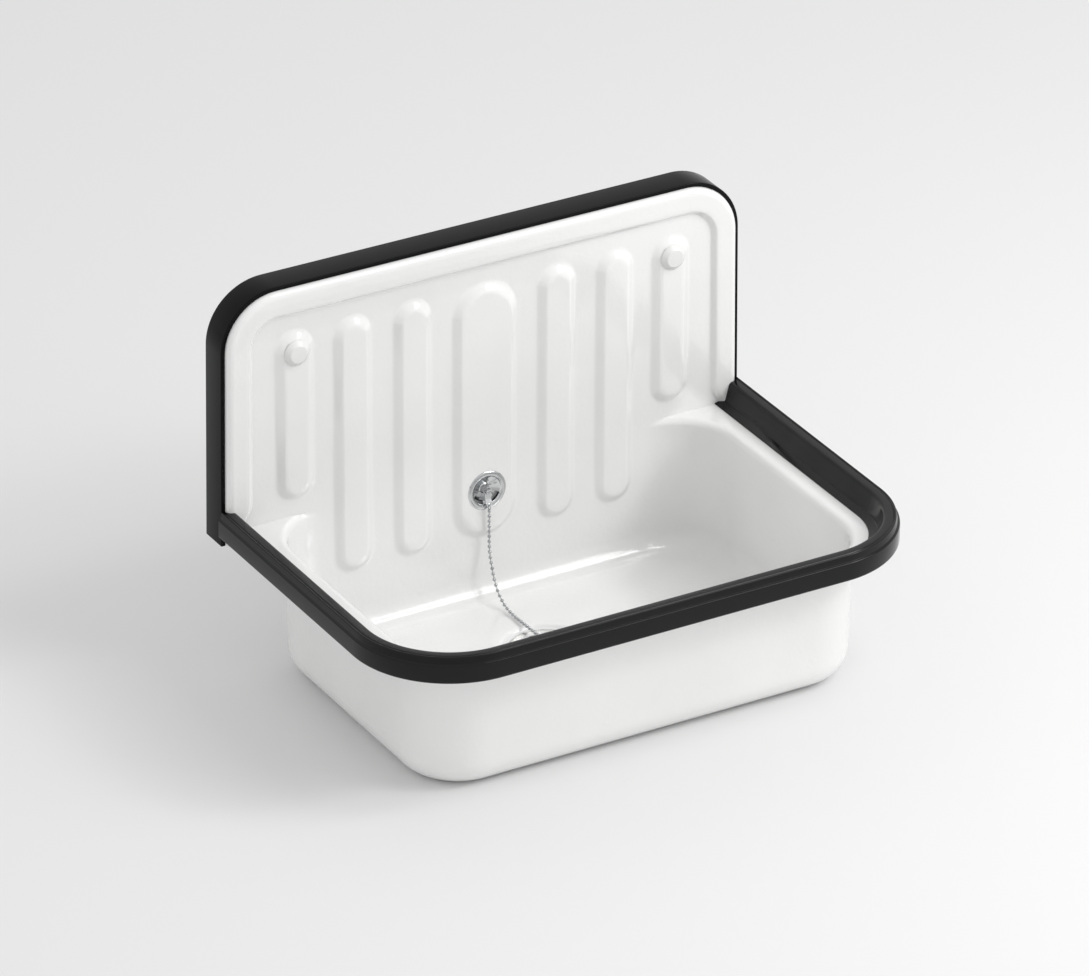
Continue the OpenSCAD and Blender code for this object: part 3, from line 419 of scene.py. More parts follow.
def make_basin(rise, soft):
    """Vertices and faces of the basin's front and inner surface."""
    surface = Surface()

    def field(x, z, out=FIELD):
        return (x, out + rib_height(x, z, rise, soft), z)

    def wall(x, z):
        return field(x, z, FIELD + max(0.0, MOUTH_Z - z) * DRAFT)

    # Panel and rear wall, where the columns run down to the bowl's floor edge
    above = [CORNER_Z + s * BAND_R for s in SHARES]
    heights = WALL_ROWS + LOW_ROWS + PANEL_ROWS + above
    main = surface.grid([[wall(x, z) for x in COLUMNS] for z in heights])
    # A block of faces gives way to the overflow's hole, whose edge the rings lead to
    edge = surface.fill(main, *block(heights, 85.0, 123.2), *block(COLUMNS, -20.0, 20.0))
    surface.rings(
        edge,
        lambda x, out, z: atan2(z - OVERFLOW_Z, x),
        lambda a, r: wall(r * cos(a), OVERFLOW_Z + r * sin(a)),
        (18.0, 16.5, 15.0),
    )

    # Sides of the panel, from the junction with the bowl's mouth and the ledge upward
    xs = [BOWL_X] + SIDE_COLUMNS

    def band_x(share, z):
        return CORNER_X + share * (side_x(BAND_R, z) + flare_at(z) - CORNER_X)

    rows = []
    count = len(LOW_ROWS)
    for k in range(count + 1):
        row = [(x, junction_z(x) + (PANEL_FOOT - junction_z(x)) * k / count) for x in xs]
        z = LEDGE_Z + (PANEL_FOOT - LEDGE_Z) * k / count
        rows.append(row + [(band_x(share, z), z) for share in SHARES])
    rows += [[(x, z) for x in xs] + [(band_x(share, z), z) for share in SHARES] for z in PANEL_ROWS]
    for up in SHARES:
        row = [(x, CORNER_Z + up * BAND_R) for x in xs]
        for share in SHARES:
            g = max(share, up) / hypot(share, up) * BAND_R
            row.append((CORNER_X + share * g, CORNER_Z + up * g))
        rows.append(row)
    hole = (*block([row[0][1] for row in rows], 270.5, CORNER_Z), *block(xs, 171.0, 193.0))
    for side in (1, -1):
        grid = surface.grid([[field(side * x, z) for x, z in row] for row in rows])
        surface.rings(
            surface.fill(grid, *hole),
            lambda x, out, z: atan2(z - FIXING_Z, side * x - FIXING_X),
            lambda a, r: (side * (FIXING_X + r * cos(a)), RIB_FACE, FIXING_Z + r * sin(a)),
            (8.5, 7.0),
        )

    # Border band round the panel, its roll and its return flange
    profile = [(BAND_R, FIELD, 1.0)] + band_profile()
    foot = spread(LEDGE_Z, (PANEL_FOOT, len(LOW_ROWS)))
    arc = [atan2(s, 1.0) for s in SHARES] + [atan2(1.0, s) for s in reversed(SHARES[:-1])]
    path = [("side", 1, z) for z in foot + PANEL_ROWS] + [("arc", 1, a) for a in arc]
    path += [("top", 1, x) for x in reversed(ALL_COLUMNS)]
    path += [("arc", -1, a) for a in reversed(arc)] + [("side", -1, z) for z in reversed(foot + PANEL_ROWS)]
    surface.fill(surface.grid([[band_point(p, r, out, share) for p in path] for r, out, share in profile]))
    outer = next(k for k, row in enumerate(profile) if abs(row[0] - BAND_OUT) < 1e-6)
    for side in (1, -1):
        skirt = []
        for z in (LEDGE_Z, 120.0, SKIRT_Z):
            skirt.append([(side * side_x(r, z), out, z) for r, out, _ in profile[outer:]])
        surface.fill(surface.grid(skirt))

    # Bowl: a loop of (axis, direction) pairs swept through rings
    drain_rear, drain_front = 91.0, 183.0
    depths = spread(BOWL_REAR, (drain_rear, 1), (drain_front, 12), (BOWL_FRONT, 8))

    def corner(side, axis, start, end):
        return [((side * BOWL_X, axis), (side * sin(a), -cos(a))) for a in spread(start, (end, 14))]

    def open_loop(start):
        loop = corner(1, BOWL_REAR, start, pi / 2)
        loop += [((BOWL_X, out), (1.0, 0.0)) for out in depths[1:-1]]
        loop += corner(1, BOWL_FRONT, pi / 2, pi)
        loop += [((x, BOWL_FRONT), (0.0, 1.0)) for x in reversed(COLUMNS[1:-1])]
        loop += corner(-1, BOWL_FRONT, pi, pi / 2)
        loop += [((-BOWL_X, out), (-1.0, 0.0)) for out in reversed(depths[1:-1])]
        return loop + corner(-1, BOWL_REAR, pi / 2, start)

    def ring(loop, r, z):
        return [(ax + r * dx, ao + r * do, z) for (ax, ao), (dx, do) in loop]

    walls = [ring(open_loop(0.0), MOUTH_R - (MOUTH_Z - z) * DRAFT, z) for z in reversed(WALL_ROWS)]
    surface.fill(surface.grid(walls))

    # Rolled mouth, whose rear ends run into the panel
    roll = []
    for x in [x for x in xs if x < JUNCTION + 1e-6]:
        r = hypot(x - BOWL_X, MOUTH_R)
        turn = acos(min(1.0, (MOUTH_R + MOUTH_ROUND - r) / MOUTH_ROUND))
        roll.append(ring(open_loop(atan2(x - BOWL_X, MOUTH_R)), r, MOUTH_Z + MOUTH_ROUND * sin(turn)))
    surface.fill(surface.grid(roll))

    # Ledge, from the mouth out to the upturned edge
    inner = roll[-1]
    ledge_row = [(x, FIELD) for x in SIDE_COLUMNS if x > JUNCTION - 1e-6]
    ledge_row += [(band_x(share, LEDGE_Z), FIELD) for share in SHARES]
    for r, out, share in profile[1 : outer + 1]:
        ledge_row.append((band_point(("side", 1, LEDGE_Z), r, out, share)[0], out))
    first_x, edge_x = ledge_row[0][0], ledge_row[-1][0]
    outside = []
    for near, ((ax, ao), (dx, do)) in zip(inner, open_loop(atan2(JUNCTION - BOWL_X, MOUTH_R))):
        side = 1 if ax > 0 else -1
        if ao == BOWL_REAR:
            share = (near[1] - FIELD) / (BOWL_REAR - FIELD)
            outside.append((side * edge_x, BORDER + (BOWL_REAR - BORDER) * share, LEDGE_Z))
        elif ao == BOWL_FRONT:
            outside.append((ax / BOWL_X * RIM_X + UPSTAND_R * dx, RIM_OUT + UPSTAND_R * do, LEDGE_Z))
        else:
            outside.append((side * (RIM_X + UPSTAND_R), ao, LEDGE_Z))
    ledge = []
    for x, out in ledge_row:
        share = (x - first_x) / (edge_x - first_x)
        row = [tuple((1 - share) * np.array(a) + share * np.array(b)) for a, b in zip(inner, outside)]
        ledge.append([(x, out, LEDGE_Z)] + row[1:-1] + [(-x, out, LEDGE_Z)])
    upstand = 12.0
    ledge.append([(x, out, z + upstand) for x, out, z in ledge[-1]])
    surface.fill(surface.grid(ledge))

    # Round base edge, floor and drain recess
    closed = open_loop(0.0) + [((x, BOWL_REAR), (0.0, -1.0)) for x in COLUMNS[1:-1]]
    low_r = MOUTH_R - (MOUTH_Z - FILLET_TOP) * DRAFT
    rings = []
    for a in spread(0.0, (pi / 2, 9)):
        rings.append(ring(closed, low_r - INNER_ROUND * (1 - cos(a)), FILLET_TOP - INNER_ROUND * sin(a)))
    rings += [ring(closed, (low_r - INNER_ROUND) * 0.5, SHEET), ring(closed, 0.0, SHEET)]
    numbers = surface.grid(rings)
    surface.fill(np.column_stack([numbers, numbers[:, :1]]))
    floor = surface.grid([[(x, out, SHEET) for x in COLUMNS] for out in depths])
    recess = [(42.5, 2.5), (40.6, 2.45), (39.3, 2.1), (38.4, 1.4), (37.4, 0.0), (36.4, -1.3)]
    recess += [(35.6, -2.1), (34.6, -2.45), (33.0, -2.5), (28.0, -2.5), (25.0, -2.5)]
    surface.rings(
        surface.fill(floor, *block(depths, drain_rear, drain_front), *block(COLUMNS, -46.0, 46.0)),
        lambda x, out, z: atan2(out - DRAIN_OUT, x),
        lambda a, place: (place[0] * cos(a), DRAIN_OUT + place[0] * sin(a), place[1]),
        recess,
    )
    return surface


def junction_z(x):
    """Height at which the panel meets the rolled mouth or the ledge."""
    r = hypot(x - BOWL_X, MOUTH_R)
    if r >= MOUTH_R + MOUTH_ROUND:
        return LEDGE_Z
    turn = acos((MOUTH_R + MOUTH_ROUND - r) / MOUTH_ROUND)
    return MOUTH_Z + MOUTH_ROUND * sin(turn)


def band_point(place, r, out, share):
    """A point of the border band on the panel's outline, for a radius from the corner axis."""
    kind, side, value = place
    if kind == "side":
        return (side * (side_x(r, value) + share * flare_at(value)), out, value)
    if kind == "arc":
        return (side * (CORNER_X + r * cos(value)), out, CORNER_Z + r * sin(value))
    return (value, out, CORNER_Z + r)


# Geometry nodes


def start_tree(name, kind, labels):
    """Starts a Geometry Nodes tree with named inputs of one kind, and one for the material."""
    tree = bpy.data.node_groups.new(name, "GeometryNodeTree")
    sockets = [("Geometry", "NodeSocketGeometry")] + [(label, kind) for label in labels]
    for label, socket in sockets + [("Material", "NodeSocketMaterial")]:
        tree.interface.new_socket(label, in_out="INPUT", socket_type=socket)
    tree.interface.new_socket("Geometry", in_out="OUTPUT", socket_type="NodeSocketGeometry")
    return tree, add(tree, "NodeGroupInput").outputs


def end_tree(tree, given, parts):
    """Joins a tree's parts and ends it in Realize Instances and Set Material."""
    joined = add(tree, "GeometryNodeJoinGeometry")
    for part in parts:
        tree.links.new(part, joined.inputs[0])
    real = add(tree, "GeometryNodeRealizeInstances", None, {"Geometry": joined.outputs[0]}).outputs[0]
    links = {"Geometry": real, "Material": given["Material"]}
    painted = add(tree, "GeometryNodeSetMaterial", None, links).outputs[0]
    add(tree, "NodeGroupOutput", None, {0: painted})
    return tree


def run_tree(obj, tree, finish, values):
    """Runs a tree on an object with its inputs set, and keeps the result as a plain mesh."""
    modifier = obj.modifiers.new("Nodes", "NODES")
    modifier.node_group = tree
    sockets = {s.name: s.identifier for s in tree.interface.items_tree if s.in_out == "INPUT"}
    for label, value in {**values, "Material": MATERIALS[finish]}.items():
        modifier[sockets[label]] = value
    apply_modifiers(obj)


def sweep_tree():
    """Sweeps a closed section along a path whose points carry their outward direction."""
    tree, given = start_tree("Swept profile", "NodeSocketObject", ["Section"])
    path = add(tree, "GeometryNodeMeshToCurve", None, {"Mesh": given["Geometry"]}).outputs[0]
    kind = {"data_type": "FLOAT_VECTOR"}
    outward = add(tree, "GeometryNodeInputNamedAttribute", kind, None, {"Name": "outward"}).outputs[0]
    links = {"Curve": path, "Normal": outward}
    turned = add(tree, "GeometryNodeSetCurveNormal", {"mode": "FREE"}, links).outputs[0]
    held = add(tree, "GeometryNodeObjectInfo", None, {"Object": given["Section"]}).outputs["Geometry"]
    section = add(tree, "GeometryNodeMeshToCurve", None, {"Mesh": held}).outputs[0]
    links = {"Curve": turned, "Profile Curve": section}
    swept = add(tree, "GeometryNodeCurveToMesh", None, links, {"Fill Caps": True}).outputs[0]
    return end_tree(tree, given, [swept])


def sweep(name, axis, outward, section, finish):
    """Sweeps a section of (radius, across) in millimetres round an outline.

    The axis is a line of points in metres from which the radii are taken, each with its outward direction.
    """
    middle = sum(a for a, _ in section) / len(section)
    line = [np.array(point) + np.array(way) * middle / 1000 for point, way in zip(axis, outward)]
    obj = new_object(name, line, [], [(k, k + 1) for k in range(len(line) - 1)])
    held = obj.data.attributes.new("outward", "FLOAT_VECTOR", "POINT")
    held.data.foreach_set("vector", np.asarray(outward, np.float32).ravel())
    corners = [((a - middle) / 1000, b / 1000, 0) for a, b in section]
    loop = [(k, (k + 1) % len(corners)) for k in range(len(corners))]
    shape = new_object(name + "_section", corners, [], loop)
    tree = bpy.data.node_groups.get("Swept profile") or sweep_tree()
    run_tree(obj, tree, finish, {"Section": shape})
    bpy.data.objects.remove(shape)
    tidy_mesh(obj, 1e-7)
    shade(obj, 40)
    return obj


def rounded(points, radii, steps=5):
    """A closed outline with its corners rounded by the given radii."""
    out = []
    count = len(points)
    for k in range(count):
        here, before, after = (np.array(points[i % count], float) for i in (k, k - 1, k + 1))
        radius = radii[k]
        if radius <= 0:
            out.append(tuple(here))
            continue
        a, b = before - here, after - here
        a, b = a / np.linalg.norm(a), b / np.linalg.norm(b)
        angle = acos(max(-1.0, min(1.0, float(a @ b))))
        reach = radius / tan(angle / 2)
        start, end = here + a * reach, here + b * reach
        centre = here + (a + b) / np.linalg.norm(a + b) * radius / sin(angle / 2)
        u, v = start - centre, end - centre
        total = acos(max(-1.0, min(1.0, float(u @ v) / radius**2)))
        for s in range(steps + 1):
            t = s / steps
            out.append(tuple(centre + (sin((1 - t) * total) * u + sin(t * total) * v) / sin(total)))
    return out


def outline_path(side, corner, turns, steps):
    """Places along an outline: up its right side, round the corner, over the middle and down again.

    The side is given as (x, other) and each place comes as (x, other, outward x, outward other).
    """
    corner_x, top = corner
    right = [(x, other, 1.0, 0.0) for x, other in side]
    right += [(corner_x, top, cos(a), sin(a)) for a in spread(0.0, (pi / 2, turns))]
    right += [(x, top, 0.0, 1.0) for x in spread(corner_x, (0.0, steps))[1:-1]]
    return right + [(0.0, top, 0.0, 1.0)] + [(-x, other, -dx, d) for x, other, dx, d in reversed(right)]


# Settings


def length(name, description, default, low, high):
    """A size setting in metres."""
    return FloatProperty(
        name=name, description=description, default=default, min=low, max=high, unit="LENGTH", precision=5
    )


def colour(name, description, default):
    """A colour setting, given as hex sRGB."""
    return FloatVectorProperty(
        name=name, description=description, default=linear(default), subtype="COLOR", size=4, min=0, max=1
    )


def factor(name, description, default):
    """A setting from 0 to 1."""
    return FloatProperty(name=name, description=description, default=default, min=0, max=1, subtype="FACTOR")


def power(name, description, default):
    """A lamp's power."""
    return FloatProperty(name=name, description=description, default=default, min=0, unit="POWER")


class SinkLook(PropertyGroup):
    """Sizes and colours of the sink's pieces."""

    rib_rise: length("Rib height", "Height of the pressed ribs above the field", 0.0045, 0.003, 0.006)
    rib_soft: length("Rib softness", "Softness of the bends beside a rib's flank", 0.0006, 0.0003, 0.002)
    bead_d: length("Bead", "Diameter of a bead of the chain", 0.0032, 0.0028, 0.0036)
    wire_d: length("Wire", "Diameter of the chain's wire", 0.001, 0.0006, 0.0014)
    hose_rib: length("Hose rib", "Height of the hose's ribs above their roots", 0.0011, 0.0004, 0.0016)
    enamel_light: colour("Enamel light", "Lighter tone of the enamel", "EFEFEE")
    enamel_dark: colour("Enamel dark", "Darker tone of the enamel", "EBEBEA")
    profile_tone: colour("Profile tone", "Tone of the black edge profiles", "0B0B0C")
    floor_tone: colour("Floor tone", "Tone of the floor", "E7E7E7")
    profile_rough: factor("Profile roughness", "Roughness of the back panel's profile", 0.2)
    rim_rough: factor("Rim roughness", "Roughness of the bowl's profile", 0.12)
    key_power: power("Key light", "Power of the key light", 25.5)
    strip_power: power("Strip light", "Power of the long light over the bowl", 7.2)
    sky: FloatProperty(name="Sky", description="Strength of the light from all round", default=0.8, min=0)


def look():
    """The scene's settings for the sink."""
    return bpy.context.scene.sink_look


# Operators


class SINK_OT_camera(Operator):
    """Sets the camera at the photograph's viewing angle"""

    bl_idname = "sink.camera"
    bl_label = "Camera"

    def execute(self, context):
        # Fitted to the photograph: the eye, the point that it looks at, the tilt and the focal length in mm
        eye = Vector((-3.0820, -5.4499, 3.4378 - FIXING_Z / 1000))
        target = Vector((-0.00884, -0.1466, 0.1615 - FIXING_Z / 1000))
        roll = radians(0.32)
        forward = (target - eye).normalized()
        right = forward.cross(Vector((0, 0, 1))).normalized()
        up = right.cross(forward)
        across = cos(roll) * right + sin(roll) * up
        upright = -sin(roll) * right + cos(roll) * up
        data = bpy.data.cameras.new("Camera")
        data.lens = 274.36
        data.sensor_width = 36.0
        data.clip_start, data.clip_end = 0.5, 60.0
        camera = bpy.data.objects.new("Camera", data)
        turn = Matrix((across, upright, -forward)).transposed().to_4x4()
        camera.matrix_world = Matrix.Translation(eye) @ turn
        context.scene.collection.objects.link(camera)
        context.scene.camera = camera
        return {"FINISHED"}


class SINK_OT_stage(Operator):
    """Adds the pale floor and the soft studio light"""

    bl_idname = "sink.stage"
    bl_label = "Stage"

    def execute(self, context):
        context.scene.view_settings.view_transform = "Standard"
        settings = look()
        # The floor lies 0.3 mm below the bowl and reaches 14 m to each side
        z, half = -(FIXING_Z + 0.3) / 1000, 14.0
        corners = [(-half, -half, z), (half, -half, z), (half, half, z), (-half, half, z)]
        floor = new_object("Floor", corners, [(0, 1, 2, 3)])
        matt = {"Base Color": list(settings.floor_tone), "Roughness": 0.9, "Specular IOR Level": 0.1}
        floor.data.materials.append(material("Paper_backdrop_white", matt)[0])

        world = bpy.data.worlds.new("Studio")
        context.scene.world = world
        world.use_nodes = True
        tree = world.node_tree
        sky = tree.nodes["Background"]
        sky.inputs["Color"].default_value = (1, 1, 1, 1)
        sky.inputs["Strength"].default_value = settings.sky

        def lamp(name, place, target, size_x, size_y, power, turn=0):
            data = bpy.data.lights.new(name, "AREA")
            data.shape = "RECTANGLE"
            data.size, data.size_y = size_x, size_y
            data.energy = power
            obj = bpy.data.objects.new(name, data)
            obj.location = place
            aim = Vector(target) - Vector(place)
            obj.rotation_euler = aim.to_track_quat("-Z", "Y").to_euler()
            obj.rotation_euler.rotate_axis("Z", radians(turn))
            context.scene.collection.objects.link(obj)

        lamp("Key", (1.86, -1.71, 1.67), (0, -0.15, -0.1), 1.5, 1.5, settings.key_power)
        lamp("Spark", (1.49, -1.4, 1.32), (0, -0.15, -0.1), 0.35, 0.35, settings.key_power * 0.22)
        lamp("Strip", (1.06, -0.94, 1.71), (1.06, -0.94, 0), 1.5, 0.3, settings.strip_power, -15)
        return {"FINISHED"}


class SINK_OT_basin(Operator):
    """Builds the pressed and enamelled basin"""

    bl_idname = "sink.basin"
    bl_label = "Basin"

    def execute(self, context):
        settings = look()
        surface = make_basin(settings.rib_rise * 1000, settings.rib_soft * 1000)
        obj = new_object("basin_enamelled", to_frame(surface.points), surface.faces)
        tidy_mesh(obj)
        # The first face lies on the rear wall, whose front looks towards the bowl
        if obj.data.polygons[0].normal.y > 0:
            obj.data.flip_normals()
        thicken(obj, SHEET / 1000)
        shade(obj, 50)
        finish_piece(obj, "sink", "enamel", "basin")
        return {"FINISHED"}


class SINK_OT_profiles(Operator):
    """Sweeps the black edge profiles round the panel and the rim"""

    bl_idname = "sink.profiles"
    bl_label = "Edge profiles"

    def execute(self, context):
        # Corners of the section as (radius, distance from the wall), over the flange and back inside it
        outer, inner = FLANGE_R + 0.1, FLANGE_R - SHEET - 0.1
        section = [(TRIM_R, 0.0), (TRIM_R, TRIM_DEPTH), (outer, TRIM_DEPTH), (outer, 2.0), (inner, 2.0)]
        section += [(inner, 14.0), (inner - 2.0, 14.0), (inner - 2.0, 0.0)]
        section = [(a, -out) for a, out in rounded(section, [0.6, 0.9, 0.4, 0, 0, 0.6, 0.6, 0.5])]
        side = [(side_x(0.0, z), z) for z in spread(SKIRT_Z, (CORNER_Z, 14))[:-1]]
        places = outline_path(side, (CORNER_X, CORNER_Z), 20, 8)
        axis = [(x / 1000, 0.0, (z - FIXING_Z) / 1000) for x, z, _, _ in places]
        outward = [(dx, 0.0, dz) for _, _, dx, dz in places]
        back = sweep("back_profile", axis, outward, section, "back_profile")
        finish_piece(back, "sink", "back_profile", "back_trim")
        finish_piece(self.rim(), "sink", "rim_profile", "rim_trim")
        return {"FINISHED"}

    def rim(self):
        # Corners of the section as (radius, height), up the outside, over the crown and down round the slot
        low, crown, seat, top = LEDGE_Z - 3.6, LEDGE_Z + 20.0, LEDGE_Z + 0.1, LEDGE_Z + 14.1
        r = RIM_R
        slot_out = r - 10.5 + 0.1
        slot_in = slot_out - SHEET - 0.2
        section = [(slot_out, low), (r, low), (r, low + 17.2), (r - 1.9, low + 17.9), (r - 3.0, crown + 0.2)]
        section += [(r - 4.4, crown + 0.2), (r - 5.2, crown - 0.9), (r - 6.2, crown), (r - 14.2, crown)]
        section += [(r - 18.6, LEDGE_Z + 2.9), (r - 26.2, seat + 0.9), (r - 26.2, seat), (slot_in, seat)]
        section += [(slot_in, top), (slot_out, top)]
        section = rounded(section, [0, 2.5, 1.4, 0.5, 0.9, 0.5, 0.35, 0.6, 3.4, 1.2, 0.3, 0, 0, 0, 0])
        # The rim's profile starts 0.1 mm in front of the back profile
        side = [(RIM_X, out) for out in spread(TRIM_DEPTH + 0.1, (RIM_OUT, 14))[:-1]]
        places = outline_path(side, (RIM_X, RIM_OUT), 32, 16)
        axis = [(x / 1000, -out / 1000, -FIXING_Z / 1000) for x, out, _, _ in places]
        outward = [(dx, -d, 0.0) for _, _, dx, d in places]
        return sweep("rim_profile", axis, outward, section, "rim_profile")


def spin(points, faces, outline, centre, turns, closed=True, slots=()):
    """Adds an outline of (radius, height) turned round a centre (x, height) on the ribs' face.

    A slot is (inner radius, outer radius, first angle, last angle) and stays without faces.
    """
    x, z = centre
    rows = []
    for r, h in outline:
        rows.append([len(points) + k for k in range(turns)])
        angles = [2 * pi * k / turns for k in range(turns)]
        points += [(x + r * cos(a), RIB_FACE + h, z + r * sin(a)) for a in angles]
    for j in range(len(rows) - (0 if closed else 1)):
        row, after = rows[j], rows[(j + 1) % len(rows)]
        radii = sorted((outline[j][0], outline[(j + 1) % len(rows)][0]))
        for k in range(turns):
            a = 2 * pi * (k + 0.5) / turns
            if any(low <= radii[0] and radii[1] <= high and s < a < e for low, high, s, e in slots):
                continue
            m = (k + 1) % turns
            faces.append((row[k], row[m], after[m], after[k]))


class SINK_OT_fixings(Operator):
    """Builds the two white caps over the wall screws, and finishes the sleeves behind them"""

    bl_idname = "sink.fixings"
    bl_label = "Fixings"

    def execute(self, context):
        paint_nodes(fixing_sleeves="nylon")
        outside = [(9.6, 0.0), (12.4, 0.0), (8.1, 3.9), (7.5, 4.3), (0.0, 4.3)]
        hollow = [(0.0, 3.1), (6.3, 3.1), (9.0, 1.5)]
        outline = rounded(outside + hollow, [0, 0.35, 0.5, 0.5, 0, 0, 0, 0], 4)
        points, faces = [], []
        for x in (-FIXING_X, FIXING_X):
            spin(points, faces, outline, (x, FIXING_Z), 64)
        obj = new_object("fixing_cap_pair", to_frame(points), faces)
        tidy_mesh(obj)
        shade(obj, 30)
        finish_piece(obj, "sink", "cap", "fixing_caps")
        return {"FINISHED"}


class SINK_OT_overflow(Operator):
    """Spins the dished rosette with its two curved slots, and finishes the overflow behind it"""

    bl_idname = "sink.overflow"
    bl_label = "Overflow"

    def execute(self, context):
        paint_nodes(overflow_screw="chrome", chain_eye="chrome")
        paint_nodes(overflow_seal="rubber", overflow_body="plastic")
        # Radius and height of the dish, from the screw's hole over the slots to the rolled edge
        profile = [(4.0, 1.4), (4.0, -0.5), (4.0, -2.8), (4.2, -4.2), (4.9, -4.75), (6.5, -4.1)]
        profile += [(8.0, -3.25), (9.5, -2.4), (9.9, -2.2), (11.5, -1.3), (13.0, -0.45), (13.3, -0.25)]
        profile += [(13.8, 0.5), (14.4, 1.15), (15.2, 1.4), (16.6, 1.35), (17.7, 1.0), (18.4, 0.35)]
        profile += [(18.5, 0.0)]
        slots = [(9.9, 13.3, radians(200), radians(255)), (9.9, 13.3, radians(285), radians(340))]
        points, faces = [], []
        spin(points, faces, profile, (0.0, OVERFLOW_Z), 144, False, slots)
        obj = new_object("overflow_rosette_spun", to_frame(points), faces)
        tidy_mesh(obj)
        if sum(p.normal.y for p in obj.data.polygons) > 0:
            obj.data.flip_normals()
        thicken(obj, 0.0009)
        shade(obj, 40)
        finish_piece(obj, "sink", "chrome", "overflow_rosette")
        return {"FINISHED"}


def bead_chain_tree():
    """Beads on the marked points and wire along the edges of a chain's line."""
    tree, given = start_tree("Bead chain", "NodeSocketFloat", ["Bead radius", "Wire radius"])
    links = {"Radius": given["Bead radius"]}
    ball = add(tree, "GeometryNodeMeshUVSphere", None, links, {"Segments": 16, "Rings": 10}).outputs[0]
    kept = add(tree, "GeometryNodeInputNamedAttribute", {"data_type": "BOOLEAN"}, None, {"Name": "bead"})
    links = {"Mesh": given["Geometry"], "Selection": kept.outputs[0]}
    dots = add(tree, "GeometryNodeMeshToPoints", None, links).outputs[0]
    beads = add(tree, "GeometryNodeInstanceOnPoints", None, {"Points": dots, "Instance": ball}).outputs[0]
    line = add(tree, "GeometryNodeMeshToCurve", None, {"Mesh": given["Geometry"]}).outputs[0]
    links = {"Radius": given["Wire radius"]}
    ring = add(tree, "GeometryNodeCurvePrimitiveCircle", None, links, {"Resolution": 8}).outputs[0]
    links = {"Curve": line, "Profile Curve": ring}
    wire = add(tree, "GeometryNodeCurveToMesh", None, links, {"Fill Caps": True}).outputs[0]
    return end_tree(tree, given, [beads, wire])


CHAIN_OUT = 37.7
TAB_PIVOT_Z = 91.0
BEAD_PITCH = 4.9
CHAIN_LOW = 4.9
TOP_RING_R, END_RING_R = 2.1, 2.8
# The top ring hangs in the eye's hole, and the end ring goes round the wire of the plug's eye
TOP_RING_Z = TAB_PIVOT_Z - 0.85
END_RING_OUT, END_RING_Z = DRAIN_OUT - 1.35, 6.5


def chain_points():
    """Bead places (out, height) as in the CAD source, and the numbers where the lengths join."""
    # The hanging chain bends away from the wall in five links and lies down in twelve more
    first, second = 5, 12

    def lean(i):
        return radians(20 * ease(i / first) + 71 * ease((i - first) / second))

    links = first + second
    drop = BEAD_PITCH * sum(cos(lean(i)) for i in range(links))
    fall = TAB_PIVOT_Z - CHAIN_LOW - drop
    hang = max(2, round(fall / BEAD_PITCH))
    points = [(CHAIN_OUT, TAB_PIVOT_Z - i * fall / hang) for i in range(hang + 1)]
    for i in range(links):
        out, z = points[-1]
        points.append((out + BEAD_PITCH * sin(lean(i)), z - BEAD_PITCH * cos(lean(i))))
    start, end = np.array(points[-1]), np.array((END_RING_OUT, END_RING_Z))
    run = max(3, round(hypot(*(end - start)) / BEAD_PITCH))
    points += [tuple(start + (end - start) * i / run) for i in range(1, run + 1)]
    bent = hang + links
    return points, [0, hang, hang + 4, hang + 8, hang + 12, bent, bent + 5, bent + run]


class SINK_OT_chain(Operator):
    """Builds the bead chain in the lengths that turn on each other"""

    bl_idname = "sink.chain"
    bl_label = "Bead chain"

    def execute(self, context):
        settings = look()
        tree = bead_chain_tree()
        sizes = {"Bead radius": settings.bead_d / 2, "Wire radius": settings.wire_d / 2}
        beads, stops = chain_points()
        last = len(stops) - 1
        for k in range(1, last + 1):
            run = beads[stops[k - 1] : stops[k] + 1]
            ring = None
            if k == 1:
                ring = (CHAIN_OUT, TOP_RING_Z, TOP_RING_R)
                run[0] = (CHAIN_OUT, TOP_RING_Z - TOP_RING_R)
            if k == last:
                ring = (*run[-1], END_RING_R)
                step = np.array(run[-1]) - np.array(run[-2])
                run[-1] = tuple(np.array(run[-1]) - step / np.linalg.norm(step) * END_RING_R)
            points = [(0.0, out, z) for out, z in run]
            edges = [(i, i + 1) for i in range(len(points) - 1)]
            # A length has no bead of its own where it hangs on the one before, or on a ring
            flags = [i > 0 or k > 1 for i in range(len(points))]
            flags[-1] = False
            if ring:
                out, z, r = ring
                start, turns = len(points), 28
                for n in range(turns):
                    a = 2 * pi * n / turns
                    points.append((0.0, out + r * cos(a), z + r * sin(a)))
                    edges.append((start + n, start + (n + 1) % turns))
                    flags.append(False)
            obj = new_object(f"chain_length_{k}", to_frame(points), [], edges)
            held = obj.data.attributes.new("bead", "BOOLEAN", "POINT")
            held.data.foreach_set("value", flags)
            run_tree(obj, tree, "chain", sizes)
            tidy_mesh(obj, 1e-7)
            shade(obj, 50)
            finish_piece(obj, f"chain_part_{k}", "chain", f"chain_{k}")
        return {"FINISHED"}


class SINK_OT_plug(Operator):
    """Finishes the plug: a rubber stopper with a chromed cap and a wire eye"""

    bl_idname = "sink.plug"
    bl_label = "Plug"

    def execute(self, context):
        paint_nodes(plug_stopper="rubber", plug_cap="chrome", plug_eye="chrome")
        return {"FINISHED"}


class SINK_OT_waste(Operator):
    """Finishes the waste: its flange, seals, body and screw"""

    bl_idname = "sink.waste"
    bl_label = "Waste"

    def execute(self, context):
        paint_nodes(waste_flange="flange", waste_screw="chrome", waste_body="plastic")
        paint_nodes(flange_seal="rubber", body_seal="rubber")
        return {"FINISHED"}


